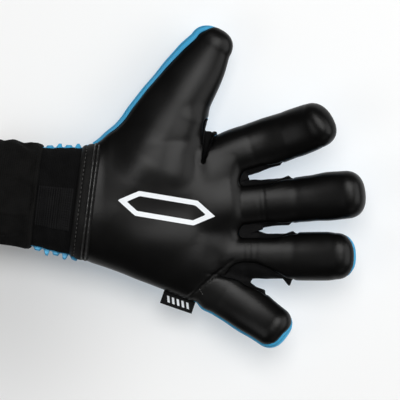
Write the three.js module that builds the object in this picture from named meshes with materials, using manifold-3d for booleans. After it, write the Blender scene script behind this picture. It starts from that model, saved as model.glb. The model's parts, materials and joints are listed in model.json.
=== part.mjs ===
// Goalkeeper glove, left hand, adult size 9, as an assembly of sewn panels.
//
// Frame: millimetres, +Z up. The glove lies on its back with the palm facing +Z, the fingers
// pointing along +X and the thumb towards +Y. The shapes are built about the centre of the wrist,
// and at the end everything is moved so that the origin is the middle of the underside. The cuff
// runs towards -X and leans 7 degrees towards +Y, as the forearm does.
//
// A foam palm and a moulded back are joined by webs between the fingers, with a lining inside.
// Each finger is cut into three segments at its flex lines and the thumb into two. The palm side of
// each flex line is an open V, so that the segments fold towards the palm without meeting. The cuff
// has a knitted sleeve, a closure strap whose tail peels off a loop pad, and a hem at its mouth.
//
// In sections and panels, angles run round the axis: 0 is the thumb side, 90 the palm side and 270
// the back. An offset moves the skin outwards, or inwards if negative. A station is a distance
// along a digit from its base point, or along the forearm from the wrist's centre.

import * as THREE from "three";
import { mergeVertices } from "three/addons/utils/BufferGeometryUtils.js";
import Module from "manifold-3d";

const wasm = await Module();
wasm.setup();

const rad = THREE.MathUtils.degToRad;

// ---------------------------------------------------------------- driving dimensions (mm, degrees)
const GAP = 0.3; // clearance between neighbouring panels
const HALF_GAP = GAP / 2;
const FOAM = 5; // latex foam with its backing
const DIGIT_BACK_WALL = 3.4;
const GUSSET_WALL = 1.6;
const LINING = 1.1;
const LINING_GAP = 1; // between the foam and the lining
const SQUARENESS = 2.35; // exponent of the superelliptic cross-sections
const OVERCUT = 1; // how far a cutting body runs past the body it hollows

// Travel of the flex lines towards the palm
const KNUCKLE_LIMIT = 50;
const FINGER_TRAVEL = [KNUCKLE_LIMIT, 60, 36];
const THUMB_TRAVEL = [45, 55];
const HINGE_HEIGHT = 3; // the flex axis lies this far to the palm side of a digit's mid-plane
const JOINT_CLEAR = 0.35;
const FOLD_MARGIN = 1.5; // extra degrees on each face of a V

// Seam angles above a digit's mid-plane
const WRAP = -14; // where the foam rolls round the side of a finger
const WEB_EDGE = 26; // where the foam stops above a stretch gusset
const OPEN_SEAM = 22; // where the coloured back shows at an outer edge
const SEAM_STEP = 0.8; // degrees left clear on each side of a gusset seam

// Each digit: base point on its axis level with the web, heading from +X, developed length from
// the base point, natural curl towards the palm (from bendFrom on), station of its root inside the
// palm, flex stations and the travel at each, [station, half-width] and [station, half-thickness]
// rows, length of the domed tip, and [thumb side, little-finger side] seam angles per segment.
const DIGITS = {
  index: {
    base: [122.9, 36.6, -1], heading: 19.3, length: 75, curl: 45, bendFrom: 0, root: -28,
    joints: [12, 34, 54], travel: FINGER_TRAVEL,
    halfWidth: [[-34, 17.5], [-4, 19.4], [17, 19.4], [30, 18.6], [54, 18.2], [60, 17.4]],
    halfThick: [[-34, 14.5], [0, 13.8], [30, 12.8], [64, 12]], tipRound: 15.5,
    seams: [[WRAP, WEB_EDGE], [WRAP, WRAP], [WRAP, WRAP]],
  },
  middle: {
    base: [122.9, -6, -1], heading: 5.9, length: 92, curl: 20, bendFrom: 0, root: -28,
    joints: [13, 39, 64], travel: FINGER_TRAVEL,
    halfWidth: [
      [-34, 17], [0, 19], [24, 18.9], [38, 17.7], [50, 17.8], [64, 18.8], [78, 18.4],
    ],
    halfThick: [[-34, 14.5], [0, 14], [38, 13], [74, 12.2]], tipRound: 14.5,
    seams: [[WEB_EDGE, WEB_EDGE], [WRAP, WRAP], [WRAP, WRAP]],
  },
  ring: {
    base: [122.9, -45.7, -1], heading: 1, length: 85, curl: 20, bendFrom: 0, root: -28,
    joints: [12, 36, 59], travel: FINGER_TRAVEL,
    halfWidth: [[-34, 16.8], [0, 18.7], [24, 18.6], [40, 18.2], [62, 18.3], [70, 17.4]],
    halfThick: [[-34, 14.5], [0, 13.8], [36, 12.8], [68, 12]], tipRound: 15,
    seams: [[WEB_EDGE, WEB_EDGE], [WRAP, WRAP], [WRAP, WRAP]],
  },
  little: {
    base: [97.9, -68.4, -1], heading: -35.4, length: 68.5, curl: 25, bendFrom: 0, root: -24,
    joints: [11, 31, 49], travel: FINGER_TRAVEL,
    halfWidth: [[-26, 16.5], [0, 18], [24, 18.6], [34, 18.3], [46, 17.2], [56, 16.6]],
    halfThick: [[-26, 14], [0, 13], [29, 12.2], [54, 11.4]], tipRound: 13.5,
    seams: [[WEB_EDGE, OPEN_SEAM], [WRAP, OPEN_SEAM], [WRAP, OPEN_SEAM]],
  },
  thumb: {
    base: [46.9, 40.4, 0], heading: 58.2, length: 105.5, curl: 16, bendFrom: 38, root: -12,
    joints: [42, 73], travel: THUMB_TRAVEL,
    halfWidth: [
      [-14, 31], [10, 31], [34, 29.6], [40, 27.3], [52, 24.9], [65, 22.8], [77, 20.9],
      [89, 18.1], [93, 17.2],
    ],
    halfThick: [[-14, 18], [4, 17.5], [38, 15.5], [62, 14], [90, 12.4]], tipRound: 14,
    seams: [[OPEN_SEAM, WRAP], [OPEN_SEAM, WRAP]],
  },
};
const FINGERS = ["index", "middle", "ring", "little"]; // from the thumb side
const SEGMENT_NAMES = { 3: ["base", "mid", "tip"], 2: ["base", "tip"] }; // by number of joints

// Fullness of the palm beside the thumb, which closes the slot between thumb and first finger.
const THUMB_WEB = {
  base: [70.6, 24, -1], heading: 73, length: 34, curl: 0.1, bendFrom: 0, tipRound: 0,
  halfWidth: [[0, 10], [34, 9.4]], halfThick: [[0, 16], [34, 13]],
};

// Palm outline: x of the section where it crosses y = 0, lower and upper edge, half-thickness.
const PALM_SECTIONS = [
  [12, -53, 46, 23.2], [26, -58.6, 49, 22], [42, -64.6, 46, 21], [56, -70.6, 41, 20.2],
  [70, -74.4, 36, 19.3], [84, -72, 32, 18], [98, -62, 33, 16.2], [110, -52, 34, 14],
  [117, -44, 30, 9],
];

// The seam between palm and back: high on the thumb side and low on the little-finger side.
const PALM_SEAM = { height: 1.7, tilt: Math.atan(10 / 105) };

// Stretch webs: centre of the U's round end, heading of its open end, width and length.
const WEBS = {
  thumb_index_web: { at: [86.8, 28], heading: 72, span: 9, depth: 15 },
  index_middle_web: { at: [119.8, 15.4], heading: 13, span: 7.5, depth: 13 },
  middle_ring_web: { at: [122, -25], heading: 3, span: 6.5, depth: 13 },
  ring_little_web: { at: [109.6, -56.6], heading: -18, span: 8.4, depth: 12 },
};
const WEB_Z = [-6, 5];
const WEB_WALL = 1.4;
const WEB_WINDOW_ROOM = { depth: 8, span: 10, height: 1 }; // window size beyond the web's

// Forearm and wrist. The rows are [station, value].
const ARM_LEAN = 7; // the forearm axis leans this much from -X towards +Y
const ARM_TURN = -rad(ARM_LEAN);
const WRIST_CENTRE = new THREE.Vector3(-1, -4.2, 0);
const WRIST_HALF_WIDTH = [
  [-6, 45], [0, 44.4], [8, 42], [20, 40.6], [36, 38.2], [60, 37], [90, 38],
];
const WRIST_HALF_THICK = [[-6, 24.2], [0, 24.2], [20, 22.8], [38, 21.4], [90, 21.4]];
const WRIST_RISE = [[0, 0], [38, 3.4], [90, 3.4]]; // the cuff's centre above the palm's
const WRIST_FLEX = 20; // station of the wrist flex line
const WRIST_LIMIT = 30; // degrees each way
const INNER_KNIT = { half: 36.6, radius: 19.2, wall: 1.2, reach: 11 };
const SLEEVE = { start: 0.4, end: 84.5, wall: 2.6, seamHeight: 2 };
const RIB = { width: 3.6, height: 1.9, front: [6.5, 13], rear: [27.5, 34.2] };
const HEM = { end: 88.5, outer: 0.8, inner: -SLEEVE.wall - 0.4 };
const BINDING = { outer: 1.9, inner: 0.45, halfLength: 4.2, bottom: 4.6 };
const ELASTIC = { angles: [77, 121], outer: 1.2, front: [5.2, 11.6], rear: [28.2, 37.4] };

// The strap goes round the sleeve. Its layers lie on its back, one outside the other, each inset
// from the strap's edges.
const STRAP = { start: 38, end: 83, wall: 1.5, slack: 0.9 };
const BADGE = { length: 34, width: 20, thick: 1.8, round: 4 };

const LABEL = {
  length: 25.5, reach: 11.5, thick: 0.9, round: 0.8, inset: 0.3,
  hinge: [71, -75.7, -1], heading: -19,
};

// A six-sided frame on the palm: centre, turn, and half-length and half-width of its two outlines.
const PRINT = {
  centre: [60.5, -8.5], turn: -8, outer: [38, 12.5], inner: [32.6, 8.6],
  flat: 0.62, // length of the straight sides as a share of the whole
  offset: 0.75,
};
const KNUCKLE_PAD = {
  offset: 2.6,
  outline: [[58, -48], [92, -48], [103, -20], [104, 8], [98, 28], [62, 30], [54, -8]],
};

// ---------------------------------------------------------------- materials
const BLACK_LATEX = { color: 0x0b0b0b, roughness: 0.42 };
const BLUE_LATEX = { color: 0x1487c4, roughness: 0.55 };
const BLACK_MESH = { color: 0x070707, roughness: 0.85 };
const BLACK_KNIT = { color: 0x0a0a0a, roughness: 0.95 };
const GREY_LINING = { color: 0x202326, roughness: 0.95 };
const WHITE_PRINT = { color: 0xe8edf0, roughness: 0.5 };
const BLACK_TAPE = { color: 0x050505, roughness: 0.7 };
const BLACK_RUBBER = { color: 0x0a0a0b, roughness: 0.45 };

const group = new THREE.Group();

function add(name, geometry, look) {
  const mesh = new THREE.Mesh(
    geometry,
    new THREE.MeshStandardMaterial({ ...look, metalness: 0 }),
  );
  mesh.name = name;
  group.add(mesh);
}

const addSolid = (name, manifold, look) => add(name, geometryFrom(manifold), look);
const addLargest = (name, manifold, look) => addSolid(name, largest(manifold), look);

// ---------------------------------------------------------------- numbers and grids of points
const signedPower = (value, power) => Math.sign(value) * Math.pow(Math.abs(value), power);
const superCos = (angle) => signedPower(Math.cos(angle), 2 / SQUARENESS);
const superSin = (angle) => signedPower(Math.sin(angle), 2 / SQUARENESS);
const between = (from, to, i, steps) => from + ((to - from) * i) / steps;

// Linear interpolation in [station, value] rows, held constant past both ends.
function valueAt(rows, station) {
  if (station <= rows[0][0]) return rows[0][1];
  for (let i = 1; i < rows.length; i++) {
    const [start, first] = rows[i - 1];
    const [end, second] = rows[i];
    if (station <= end) return first + (second - first) * ((station - start) / (end - start));
  }
  return rows[rows.length - 1][1];
}

const sequence = (steps, itemAt) => Array.from({ length: steps + 1 }, (_, i) => itemAt(i));
const gridOf = (rowSteps, colSteps, pointAt) =>
  sequence(rowSteps, (row) => sequence(colSteps, (col) => pointAt(row, col)));
const ringOf = (count, pointAt) =>
  sequence(count - 1, (i) => pointAt((2 * Math.PI * i) / count));

// ---------------------------------------------------------------- geometry and solids
function signedVolume(p, index) {
  let volume = 0;
  for (let i = 0; i < index.length; i += 3) {
    const [a, b, c] = [index[i] * 3, index[i + 1] * 3, index[i + 2] * 3];
    volume +=
      p[a] * (p[b + 1] * p[c + 2] - p[b + 2] * p[c + 1]) -
      p[a + 1] * (p[b] * p[c + 2] - p[b + 2] * p[c]) +
      p[a + 2] * (p[b] * p[c + 1] - p[b + 1] * p[c]);
  }
  return volume;
}

// A geometry from points and triangles, facing outwards, with equal points merged and flat
// triangles dropped.
function geometryOf(points, triangles) {
  const loose = new THREE.BufferGeometry();
  const corners = triangles.flat().flatMap((p) => [points[p].x, points[p].y, points[p].z]);
  loose.setAttribute("position", new THREE.BufferAttribute(new Float32Array(corners), 3));
  const merged = mergeVertices(loose, 1e-3);
  const index = merged.index.array;
  const kept = [];
  for (let i = 0; i < index.length; i += 3) {
    const [a, b, c] = [index[i], index[i + 1], index[i + 2]];
    if (a !== b && b !== c && a !== c) kept.push(a, b, c);
  }
  if (signedVolume(merged.attributes.position.array, kept) < 0)
    for (let i = 0; i < kept.length; i += 3)
      [kept[i + 1], kept[i + 2]] = [kept[i + 2], kept[i + 1]];
  merged.setIndex(kept);
  return merged;
}

// three.js geometry to a manifold-3d solid, and back.
function solid(geometry, matrix) {
  const loose = geometry.index ? geometry.toNonIndexed() : geometry.clone();
  const bare = new THREE.BufferGeometry();
  bare.setAttribute("position", loose.getAttribute("position"));
  if (matrix) bare.applyMatrix4(matrix);
  const merged = mergeVertices(bare, 1e-4);
  return new wasm.Manifold(
    new wasm.Mesh({
      numProp: 3,
      vertProperties: merged.attributes.position.array,
      triVerts: new Uint32Array(merged.index.array),
    }),
  );
}

function geometryFrom(manifold) {
  const mesh = manifold.getMesh();
  const positions = new Float32Array(mesh.numVert * 3);
  for (let i = 0; i < mesh.numVert; i++) {
    const start = i * mesh.numProp;
    positions.set(mesh.vertProperties.subarray(start, start + 3), i * 3);
  }
  const geometry = new THREE.BufferGeometry();
  geometry.setAttribute("position", new THREE.BufferAttribute(positions, 3));
  geometry.setIndex(new THREE.BufferAttribute(new Uint32Array(mesh.triVerts), 1));
  return geometry;
}

// The largest body of a boolean's result, with needle triangles collapsed: slivers cut loose at an
// edge are dropped.
function largest(manifold) {
  const bodies = manifold.asOriginal().simplify(0.02).decompose();
  return bodies.sort((a, b) => b.volume() - a.volume())[0];
}

// A solid loft through closed rings, capped at both ends.
function loft(rings) {
  const count = rings[0].length;
  const points = rings.flat();
  const triangles = [];
  for (let i = 0; i + 1 < rings.length; i++)
    for (let j = 0; j < count; j++) {
      const a = i * count + j;
      const b = i * count + ((j + 1) % count);
      const c = a + count;
      const d = b + count;
      triangles.push([a, b, d], [a, d, c]);
    }
  for (const [i, flip] of [[0, true], [rings.length - 1, false]]) {
    const centre = new THREE.Vector3();
    rings[i].forEach((point) => centre.add(point));
    points.push(centre.divideScalar(count));
    const hub = points.length - 1;
    for (let j = 0; j < count; j++) {
      const a = i * count + j;
      const b = i * count + ((j + 1) % count);
      triangles.push(flip ? [hub, b, a] : [hub, a, b]);
    }
  }
  return solid(geometryOf(points, triangles));
}

// A thick patch between two grids of points of the same size.
function patch(outerGrid, innerGrid) {
  const rows = outerGrid.length;
  const cols = outerGrid[0].length;
  const points = [...outerGrid.flat(), ...innerGrid.flat()];
  const triangles = [];
  const outer = (i, j) => i * cols + j;
  const inner = (i, j) => rows * cols + i * cols + j;
  const quad = (a, b, c, d) => triangles.push([a, b, c], [a, c, d]);
  const lastRow = rows - 1;
  const lastCol = cols - 1;
  for (let i = 0; i < lastRow; i++)
    for (let j = 0; j < lastCol; j++) {
      quad(outer(i, j), outer(i, j + 1), outer(i + 1, j + 1), outer(i + 1, j));
      quad(inner(i, j), inner(i + 1, j), inner(i + 1, j + 1), inner(i, j + 1));
    }
  for (let j = 0; j < lastCol; j++) {
    quad(outer(0, j), inner(0, j), inner(0, j + 1), outer(0, j + 1));
    quad(outer(lastRow, j), outer(lastRow, j + 1), inner(lastRow, j + 1), inner(lastRow, j));
  }
  for (let i = 0; i < lastRow; i++) {
    quad(outer(i, 0), outer(i + 1, 0), inner(i + 1, 0), inner(i, 0));
    quad(outer(i, lastCol), inner(i, lastCol), inner(i + 1, lastCol), outer(i + 1, lastCol));
  }
  return geometryOf(points, triangles);
}

// A move to x, y, z after a tilt about X and then a turn about Z, in radians.
function placed(x, y, z, turn = 0, tilt = 0) {
  return new THREE.Matrix4().compose(
    new THREE.Vector3(x, y, z),
    new THREE.Quaternion().setFromEuler(new THREE.Euler(tilt, 0, turn, "ZYX")),
    new THREE.Vector3(1, 1, 1),
  );
}

function polygon(corners, path = new THREE.Shape()) {
  path.setFromPoints(corners.map(([x, y]) => new THREE.Vector2(x, y)));
  path.closePath();
  return path;
}

function roundedShape(length, width, round) {
  const shape = new THREE.Shape();
  const x = length / 2;
  const y = width / 2;
  shape.moveTo(-x + round, -y);
  shape.lineTo(x - round, -y);
  shape.absarc(x - round, -y + round, round, -Math.PI / 2, 0);
  shape.lineTo(x, y - round);
  shape.absarc(x - round, y - round, round, 0, Math.PI / 2);
  shape.lineTo(-x + round, y);
  shape.absarc(-x + round, y - round, round, Math.PI / 2, Math.PI);
  shape.lineTo(-x, -y + round);
  shape.absarc(-x + round, -y + round, round, Math.PI, 1.5 * Math.PI);
  return shape;
}

const extruded = (shape, depth, matrix, curveSegments = 3) =>
  solid(new THREE.ExtrudeGeometry(shape, { depth, bevelEnabled: false, curveSegments }), matrix);

const extrudedBetween = (shape, bottom, top) =>
  extruded(shape, top - bottom, placed(0, 0, bottom));

// ---------------------------------------------------------------- digit surfaces
// The axis of a digit runs straight to bendFrom and then bends upwards evenly by its curl.
function axisAt(digit, station) {
  const direction = new THREE.Vector3(
    Math.cos(rad(digit.heading)), Math.sin(rad(digit.heading)), 0,
  );
  const rate = rad(digit.curl) / (digit.length - digit.bendFrom);
  const bend = rate * Math.max(0, station - digit.bendFrom);
  const along = Math.min(station, digit.bendFrom) + Math.sin(bend) / rate;
  const rise = (1 - Math.cos(bend)) / rate;
  return {
    centre: new THREE.Vector3(...digit.base)
      .addScaledVector(direction, along)
      .add(new THREE.Vector3(0, 0, rise)),
    side: new THREE.Vector3(-direction.y, direction.x, 0),
    up: direction.clone()
      .multiplyScalar(-Math.sin(bend))
      .add(new THREE.Vector3(0, 0, Math.cos(bend))),
  };
}

// Sideways distance and height above the mid-plane of the skin at an angle.
function sectionAt(digit, station, angle, offset, dome = 0) {
  const shrink = Math.cos(dome);
  return {
    side: (valueAt(digit.halfWidth, station) + offset) * shrink * superCos(angle),
    up: (valueAt(digit.halfThick, station) + offset) * shrink * superSin(angle),
  };
}

// A point of the skin. Dome is the angle reached round the fingertip, from 0 to a right angle.
function skinPoint(digit, station, angle, offset, dome = 0, lift = 0) {
  const straight = digit.length - digit.tipRound;
  const section = sectionAt(digit, Math.min(station, straight), angle, offset, dome);
  const axis = axisAt(digit, station + (digit.tipRound + offset) * Math.sin(dome));
  return axis.centre
    .addScaledVector(axis.side, section.side)
    .addScaledVector(axis.up, section.up + lift);
}

const skinRing = (digit, station, offset, count) =>
  ringOf(count, (angle) => skinPoint(digit, station, angle, offset));

// How far a segment stops short of flex line number joint, so that it can fold. The natural curl
// has already closed part of the gap.
function shortOf(digit, joint, angle, offset) {
  const { up } = sectionAt(digit, digit.joints[joint], angle, offset);
  const halfTravel = digit.travel[joint] / 2;
  const height = Math.max(0, up - HINGE_HEIGHT);
  const curled = (digit.curl / digit.length) * height * Math.tan(rad(halfTravel));
  return JOINT_CLEAR + height * Math.tan(rad(halfTravel + curled + FOLD_MARGIN));
}

// One panel of a digit segment between two angles in degrees. The last segment has the domed tip.
function digitPanel(digit, segment, { from, to, across = 6, wall, lift = 0 }) {
  const straight = digit.length - digit.tipRound;
  const tip = segment === digit.joints.length - 1;
  const along = tip ? 1 : 2;
  const domeSteps = tip ? 3 : 0;
  const grid = (offset) =>
    gridOf(along + domeSteps, across, (i, j) => {
      const angle = rad(between(from, to, j, across));
      if (i > along) {
        const dome = ((i - along) / domeSteps) * (Math.PI / 2);
        return skinPoint(digit, straight, angle, offset, dome, lift);
      }
      const start = digit.joints[segment] + shortOf(digit, segment, angle, offset);
      const end = tip
        ? straight
        : digit.joints[segment + 1] - shortOf(digit, segment + 1, angle, offset);
      return skinPoint(digit, between(start, end, i, along), angle, offset, 0, lift);
    });
  return patch(grid(0), grid(-wall));
}

// The stub of a digit that belongs to the palm, from its root inside the palm to its first flex
// line, or past it for a cutting body.
function digitStub(digit, offset, cutting, count) {
  const root = digit.root - offset;
  return loft(
    sequence(2, (i) =>
      ringOf(count, (angle) => {
        const end = cutting
          ? digit.joints[0] + 3
          : digit.joints[0] - shortOf(digit, 0, angle, offset);
        return skinPoint(digit, between(root, end, i, 2), angle, offset);
      }),
    ),
  );
}

// The first segment of a digit with room around it, which the palm keeps clear of.
const roomFor = (digit) =>
  loft(digit.joints.slice(0, 2).map((station) => skinRing(digit, station, 2 * GAP, 18)));

// The same room with the digit folded by an angle in degrees at its first flex line.
function foldedRoom(digit, angle) {
  const axis = axisAt(digit, digit.joints[0]);
  const pin = axis.centre.addScaledVector(axis.up, HINGE_HEIGHT);
  const turn = new THREE.Matrix4()
    .makeTranslation(pin.x, pin.y, pin.z)
    .multiply(new THREE.Matrix4().makeRotationAxis(axis.side.negate(), rad(angle)))
    .multiply(new THREE.Matrix4().makeTranslation(-pin.x, -pin.y, -pin.z));
  return roomFor(digit).transform(turn.elements);
}

// ---------------------------------------------------------------- wrist surfaces
const arm = new THREE.Vector3(-Math.cos(rad(ARM_LEAN)), Math.sin(rad(ARM_LEAN)), 0);
const armSide = new THREE.Vector3(Math.sin(rad(ARM_LEAN)), Math.cos(rad(ARM_LEAN)), 0);

function wristPoint(station, angle, offset) {
  const side = (valueAt(WRIST_HALF_WIDTH, station) + offset) * superCos(angle);
  const up = (valueAt(WRIST_HALF_THICK, station) + offset) * superSin(angle);
  return WRIST_CENTRE.clone()
    .addScaledVector(arm, station)
    .addScaledVector(armSide, side)
    .add(new THREE.Vector3(0, 0, valueAt(WRIST_RISE, station) + up));
}

const wristRing = (station, offset, count) =>
  ringOf(count, (angle) => wristPoint(station, angle, offset));

const wristLoft = (from, to, offset, steps) =>
  loft(sequence(steps, (i) => wristRing(between(from, to, i, steps), offset, 20)));

function wristTube({
  from, to, outer, inner, steps, cutFrom = from - OVERCUT, cutTo = to + OVERCUT,
}) {
  return wristLoft(from, to, outer, steps).subtract(wristLoft(cutFrom, cutTo, inner, steps));
}

function wristPatch({ from, to, angles, outer, inner, along, across }) {
  const grid = (offset) =>
    gridOf(along, across, (i, j) =>
      wristPoint(
        between(from, to, i, along), rad(between(angles[0], angles[1], j, across)), offset,
      ),
    );
  return patch(grid(outer), grid(inner));
}

// A prism right across the wrist from a polygon of [station, z] points.
const PRISM_HALF_WIDTH = 100;
const PRISM_REACH = 60; // z beyond the wrist's skin
function wristPrism(points) {
  const matrix = new THREE.Matrix4()
    .makeTranslation(WRIST_CENTRE.x, WRIST_CENTRE.y, 0)
    .multiply(new THREE.Matrix4().makeRotationZ(ARM_TURN))
    .multiply(new THREE.Matrix4().makeRotationX(Math.PI / 2))
    .multiply(new THREE.Matrix4().makeTranslation(0, 0, -PRISM_HALF_WIDTH));
  const shape = polygon(points.map(([station, z]) => [-station, z]));
  return extruded(shape, 2 * PRISM_HALF_WIDTH, matrix);
}

const wristBlock = (from, to, bottom) =>
  wristPrism([[from, bottom], [from, PRISM_REACH], [to, PRISM_REACH], [to, bottom]]);

// ---------------------------------------------------------------- palm and back
function palmLoft(offset, count = 22, openAt = 0) {
  const rings = [wristRing(0, offset, count)];
  if (openAt) rings.unshift(wristRing(openAt, offset, count));
  PALM_SECTIONS.forEach(([x, lowEdge, highEdge, halfThick], i) => {
    // The forearm's lean fades out over the first sections.
    const lean = Math.tan(rad(ARM_LEAN)) * Math.max(0, 1 - (i + 1) / 3);
    const middle = (lowEdge + highEdge) / 2;
    const half = (highEdge - lowEdge) / 2;
    const end = i === PALM_SECTIONS.length - 1 ? offset : 0;
    rings.push(
      ringOf(count, (angle) => {
        const y = middle + (half + offset) * superCos(angle);
        return new THREE.Vector3(x + end + lean * y, y, (halfThick + offset) * superSin(angle));
      }),
    );
  });
  return loft(rings);
}

// Palm, digit stubs and thumb web in one body. A cutting body runs past the open ends.
function handBody(offset, cutting, palmCount = 22, digitCount = 14) {
  let body = palmLoft(offset, palmCount, cutting ? 1.5 : 0);
  for (const digit of Object.values(DIGITS))
    body = body.add(digitStub(digit, offset, cutting, digitCount));
  const webEnds = [-offset, THUMB_WEB.length + offset];
  return body.add(loft(webEnds.map((station) => skinRing(THUMB_WEB, station, offset, 14))));
}

// The hand's outer body, clear of every digit's first segment. The little finger folds past the
// root of its neighbour, so it is given room all the way.
function clearedHand() {
  const body = Object.values(DIGITS).reduce(
    (rest, digit) => rest.subtract(roomFor(digit)),
    handBody(0, false),
  );
  return [KNUCKLE_LIMIT / 3, (2 * KNUCKLE_LIMIT) / 3, KNUCKLE_LIMIT].reduce(
    (rest, angle) => rest.subtract(foldedRoom(DIGITS.little, angle)),
    body,
  );
}

// Everything on the palm side (1) or the back side (-1) of the seam.
function seamSide(side) {
  const size = 800;
  const height = size / 2;
  const matrix = placed(0, 0, PALM_SEAM.height, 0, PALM_SEAM.tilt).multiply(
    placed(0, 0, side * (height / 2 + HALF_GAP)),
  );
  return solid(new THREE.BoxGeometry(size, size, height), matrix);
}

// A window in the side wall, where a stretch web is sewn in.
const webWindow = ({ at, heading, span, depth }) =>
  solid(
    new THREE.BoxGeometry(
      depth + WEB_WINDOW_ROOM.depth,
      span + WEB_WINDOW_ROOM.span,
      WEB_Z[1] - WEB_Z[0] + WEB_WINDOW_ROOM.height,
    ),
    placed(at[0], at[1], (WEB_Z[0] + WEB_Z[1]) / 2, rad(heading)),
  );

function addPalmAndBack() {
  const outer = clearedHand();
  const shell = outer.subtract(handBody(-FOAM, true));
  const lining = handBody(-FOAM - LINING_GAP, true, 16, 10)
    .subtract(handBody(-FOAM - LINING_GAP - LINING, true, 16, 10))
    .intersect(outer);
  const palmSide = seamSide(1);
  const backSide = seamSide(-1);
  const windows = Object.values(WEBS).map(webWindow);
  const addPanel = (name, body, side, look) => {
    const panel = windows.reduce((rest, cut) => rest.subtract(cut), body.intersect(side));
    addLargest(name, panel, look);
  };
  addPanel("palm_foam", shell, palmSide, BLACK_LATEX);
  addPanel("back_shell", shell, backSide, BLUE_LATEX);
  addPanel("palm_lining", lining, palmSide, GREY_LINING);
  addPanel("back_lining", lining, backSide, GREY_LINING);
}

// A U-shaped stretch web at the bottom of a gap between digits, open towards the fingertips.
function addWeb(name, { at, heading, span, depth }) {
  const radius = span / 2;
  const inside = radius - WEB_WALL;
  const end = depth / 2;
  const shape = new THREE.Shape();
  shape.moveTo(end, radius);
  shape.lineTo(0, radius);
  shape.absarc(0, 0, radius, Math.PI / 2, 1.5 * Math.PI, false);
  shape.lineTo(end, -radius);
  shape.lineTo(end, -radius + WEB_WALL);
  shape.lineTo(0, -radius + WEB_WALL);
  shape.absarc(0, 0, inside, 1.5 * Math.PI, Math.PI / 2, true);
  shape.lineTo(end, inside);
  shape.closePath();
  const matrix = placed(at[0], at[1], WEB_Z[0], rad(heading));
  addSolid(name, extruded(shape, WEB_Z[1] - WEB_Z[0], matrix, 4), BLACK_MESH);
}

// ---------------------------------------------------------------- digit segments
// A stretch gusset centred on an angle, named after the neighbouring finger.
function addGusset(name, neighbourStep, segment, centre) {
  const neighbour = FINGERS[FINGERS.indexOf(name) + neighbourStep];
  const half = WEB_EDGE - SEAM_STEP;
  const panel = digitPanel(DIGITS[name], segment, {
    from: centre - half, to: centre + half, across: 3, wall: GUSSET_WALL,
  });
  add(`${name}_gusset_${neighbour}_side`, panel, BLACK_MESH);
}

function addSegment(name, segment) {
  const digit = DIGITS[name];
  const seams = digit.seams[segment];
  const segmentName = SEGMENT_NAMES[digit.joints.length][segment];
  const gusseted = seams.map((seam) => seam === WEB_EDGE);
  const palmEdge = seams.map((seam, i) => seam + (gusseted[i] ? SEAM_STEP : 0));
  const backEdge = seams.map((seam, i) => (gusseted[i] ? -WEB_EDGE - SEAM_STEP : seam));
  const palm = digitPanel(digit, segment, {
    from: palmEdge[0], to: 180 - palmEdge[1], wall: FOAM, lift: HALF_GAP,
  });
  const back = digitPanel(digit, segment, {
    from: 180 - backEdge[1], to: 360 + backEdge[0], wall: DIGIT_BACK_WALL, lift: -HALF_GAP,
  });
  add(`${name}_palm_${segmentName}`, palm, BLACK_LATEX);
  add(`${name}_back_${segmentName}`, back, BLUE_LATEX);
  if (gusseted[0]) addGusset(name, -1, segment, 0);
  if (gusseted[1]) addGusset(name, 1, segment, 180);
}

// ---------------------------------------------------------------- raised pads on palm and back
function frameCorners([halfLength, halfWidth]) {
  const flat = halfLength * PRINT.flat;
  const turn = rad(PRINT.turn);
  return [
    [-halfLength, 0], [-flat, halfWidth], [flat, halfWidth],
    [halfLength, 0], [flat, -halfWidth], [-flat, -halfWidth],
  ].map(([x, y]) => [
    PRINT.centre[0] + x * Math.cos(turn) - y * Math.sin(turn),
    PRINT.centre[1] + x * Math.sin(turn) + y * Math.cos(turn),
  ]);
}

function addPalmPrint(nearSkin) {
  const frame = polygon(frameCorners(PRINT.outer).reverse());
  frame.holes.push(polygon(frameCorners(PRINT.inner), new THREE.Path()));
  const film = palmLoft(PRINT.offset).subtract(nearSkin);
  addLargest("palm_print", film.intersect(extrudedBetween(frame, 5, 60)), WHITE_PRINT);
}

function addKnucklePad(nearSkin) {
  const layer = palmLoft(KNUCKLE_PAD.offset).subtract(nearSkin);
  const prism = extrudedBetween(polygon(KNUCKLE_PAD.outline), -60, -6);
  addLargest("knuckle_pad", layer.intersect(prism), BLUE_LATEX);
}

// ---------------------------------------------------------------- sleeve and wrist
const hingeZ = valueAt(WRIST_RISE, WRIST_FLEX);

// The part of the wrist on the finger side of the flex line (side -1), or on the cuff side (1), as
// far as end. Its face slopes away from the flex line above and below, so that the wrist can bend.
function wristSide(end, side) {
  const start = WRIST_FLEX + side * JOINT_CLEAR;
  const slope = Math.tan(rad(WRIST_LIMIT / 2));
  const faceAt = (z) => start + side * Math.abs(z - hingeZ) * slope;
  return wristPrism([
    [end, -PRISM_REACH], [end, PRISM_REACH],
    [faceAt(PRISM_REACH), PRISM_REACH], [start, hingeZ], [faceAt(-PRISM_REACH), -PRISM_REACH],
  ]);
}

const ribAt = (station) =>
  wristTube({
    from: station - RIB.width / 2, to: station + RIB.width / 2,
    outer: RIB.height, inner: -1, steps: 1,
  });

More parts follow.
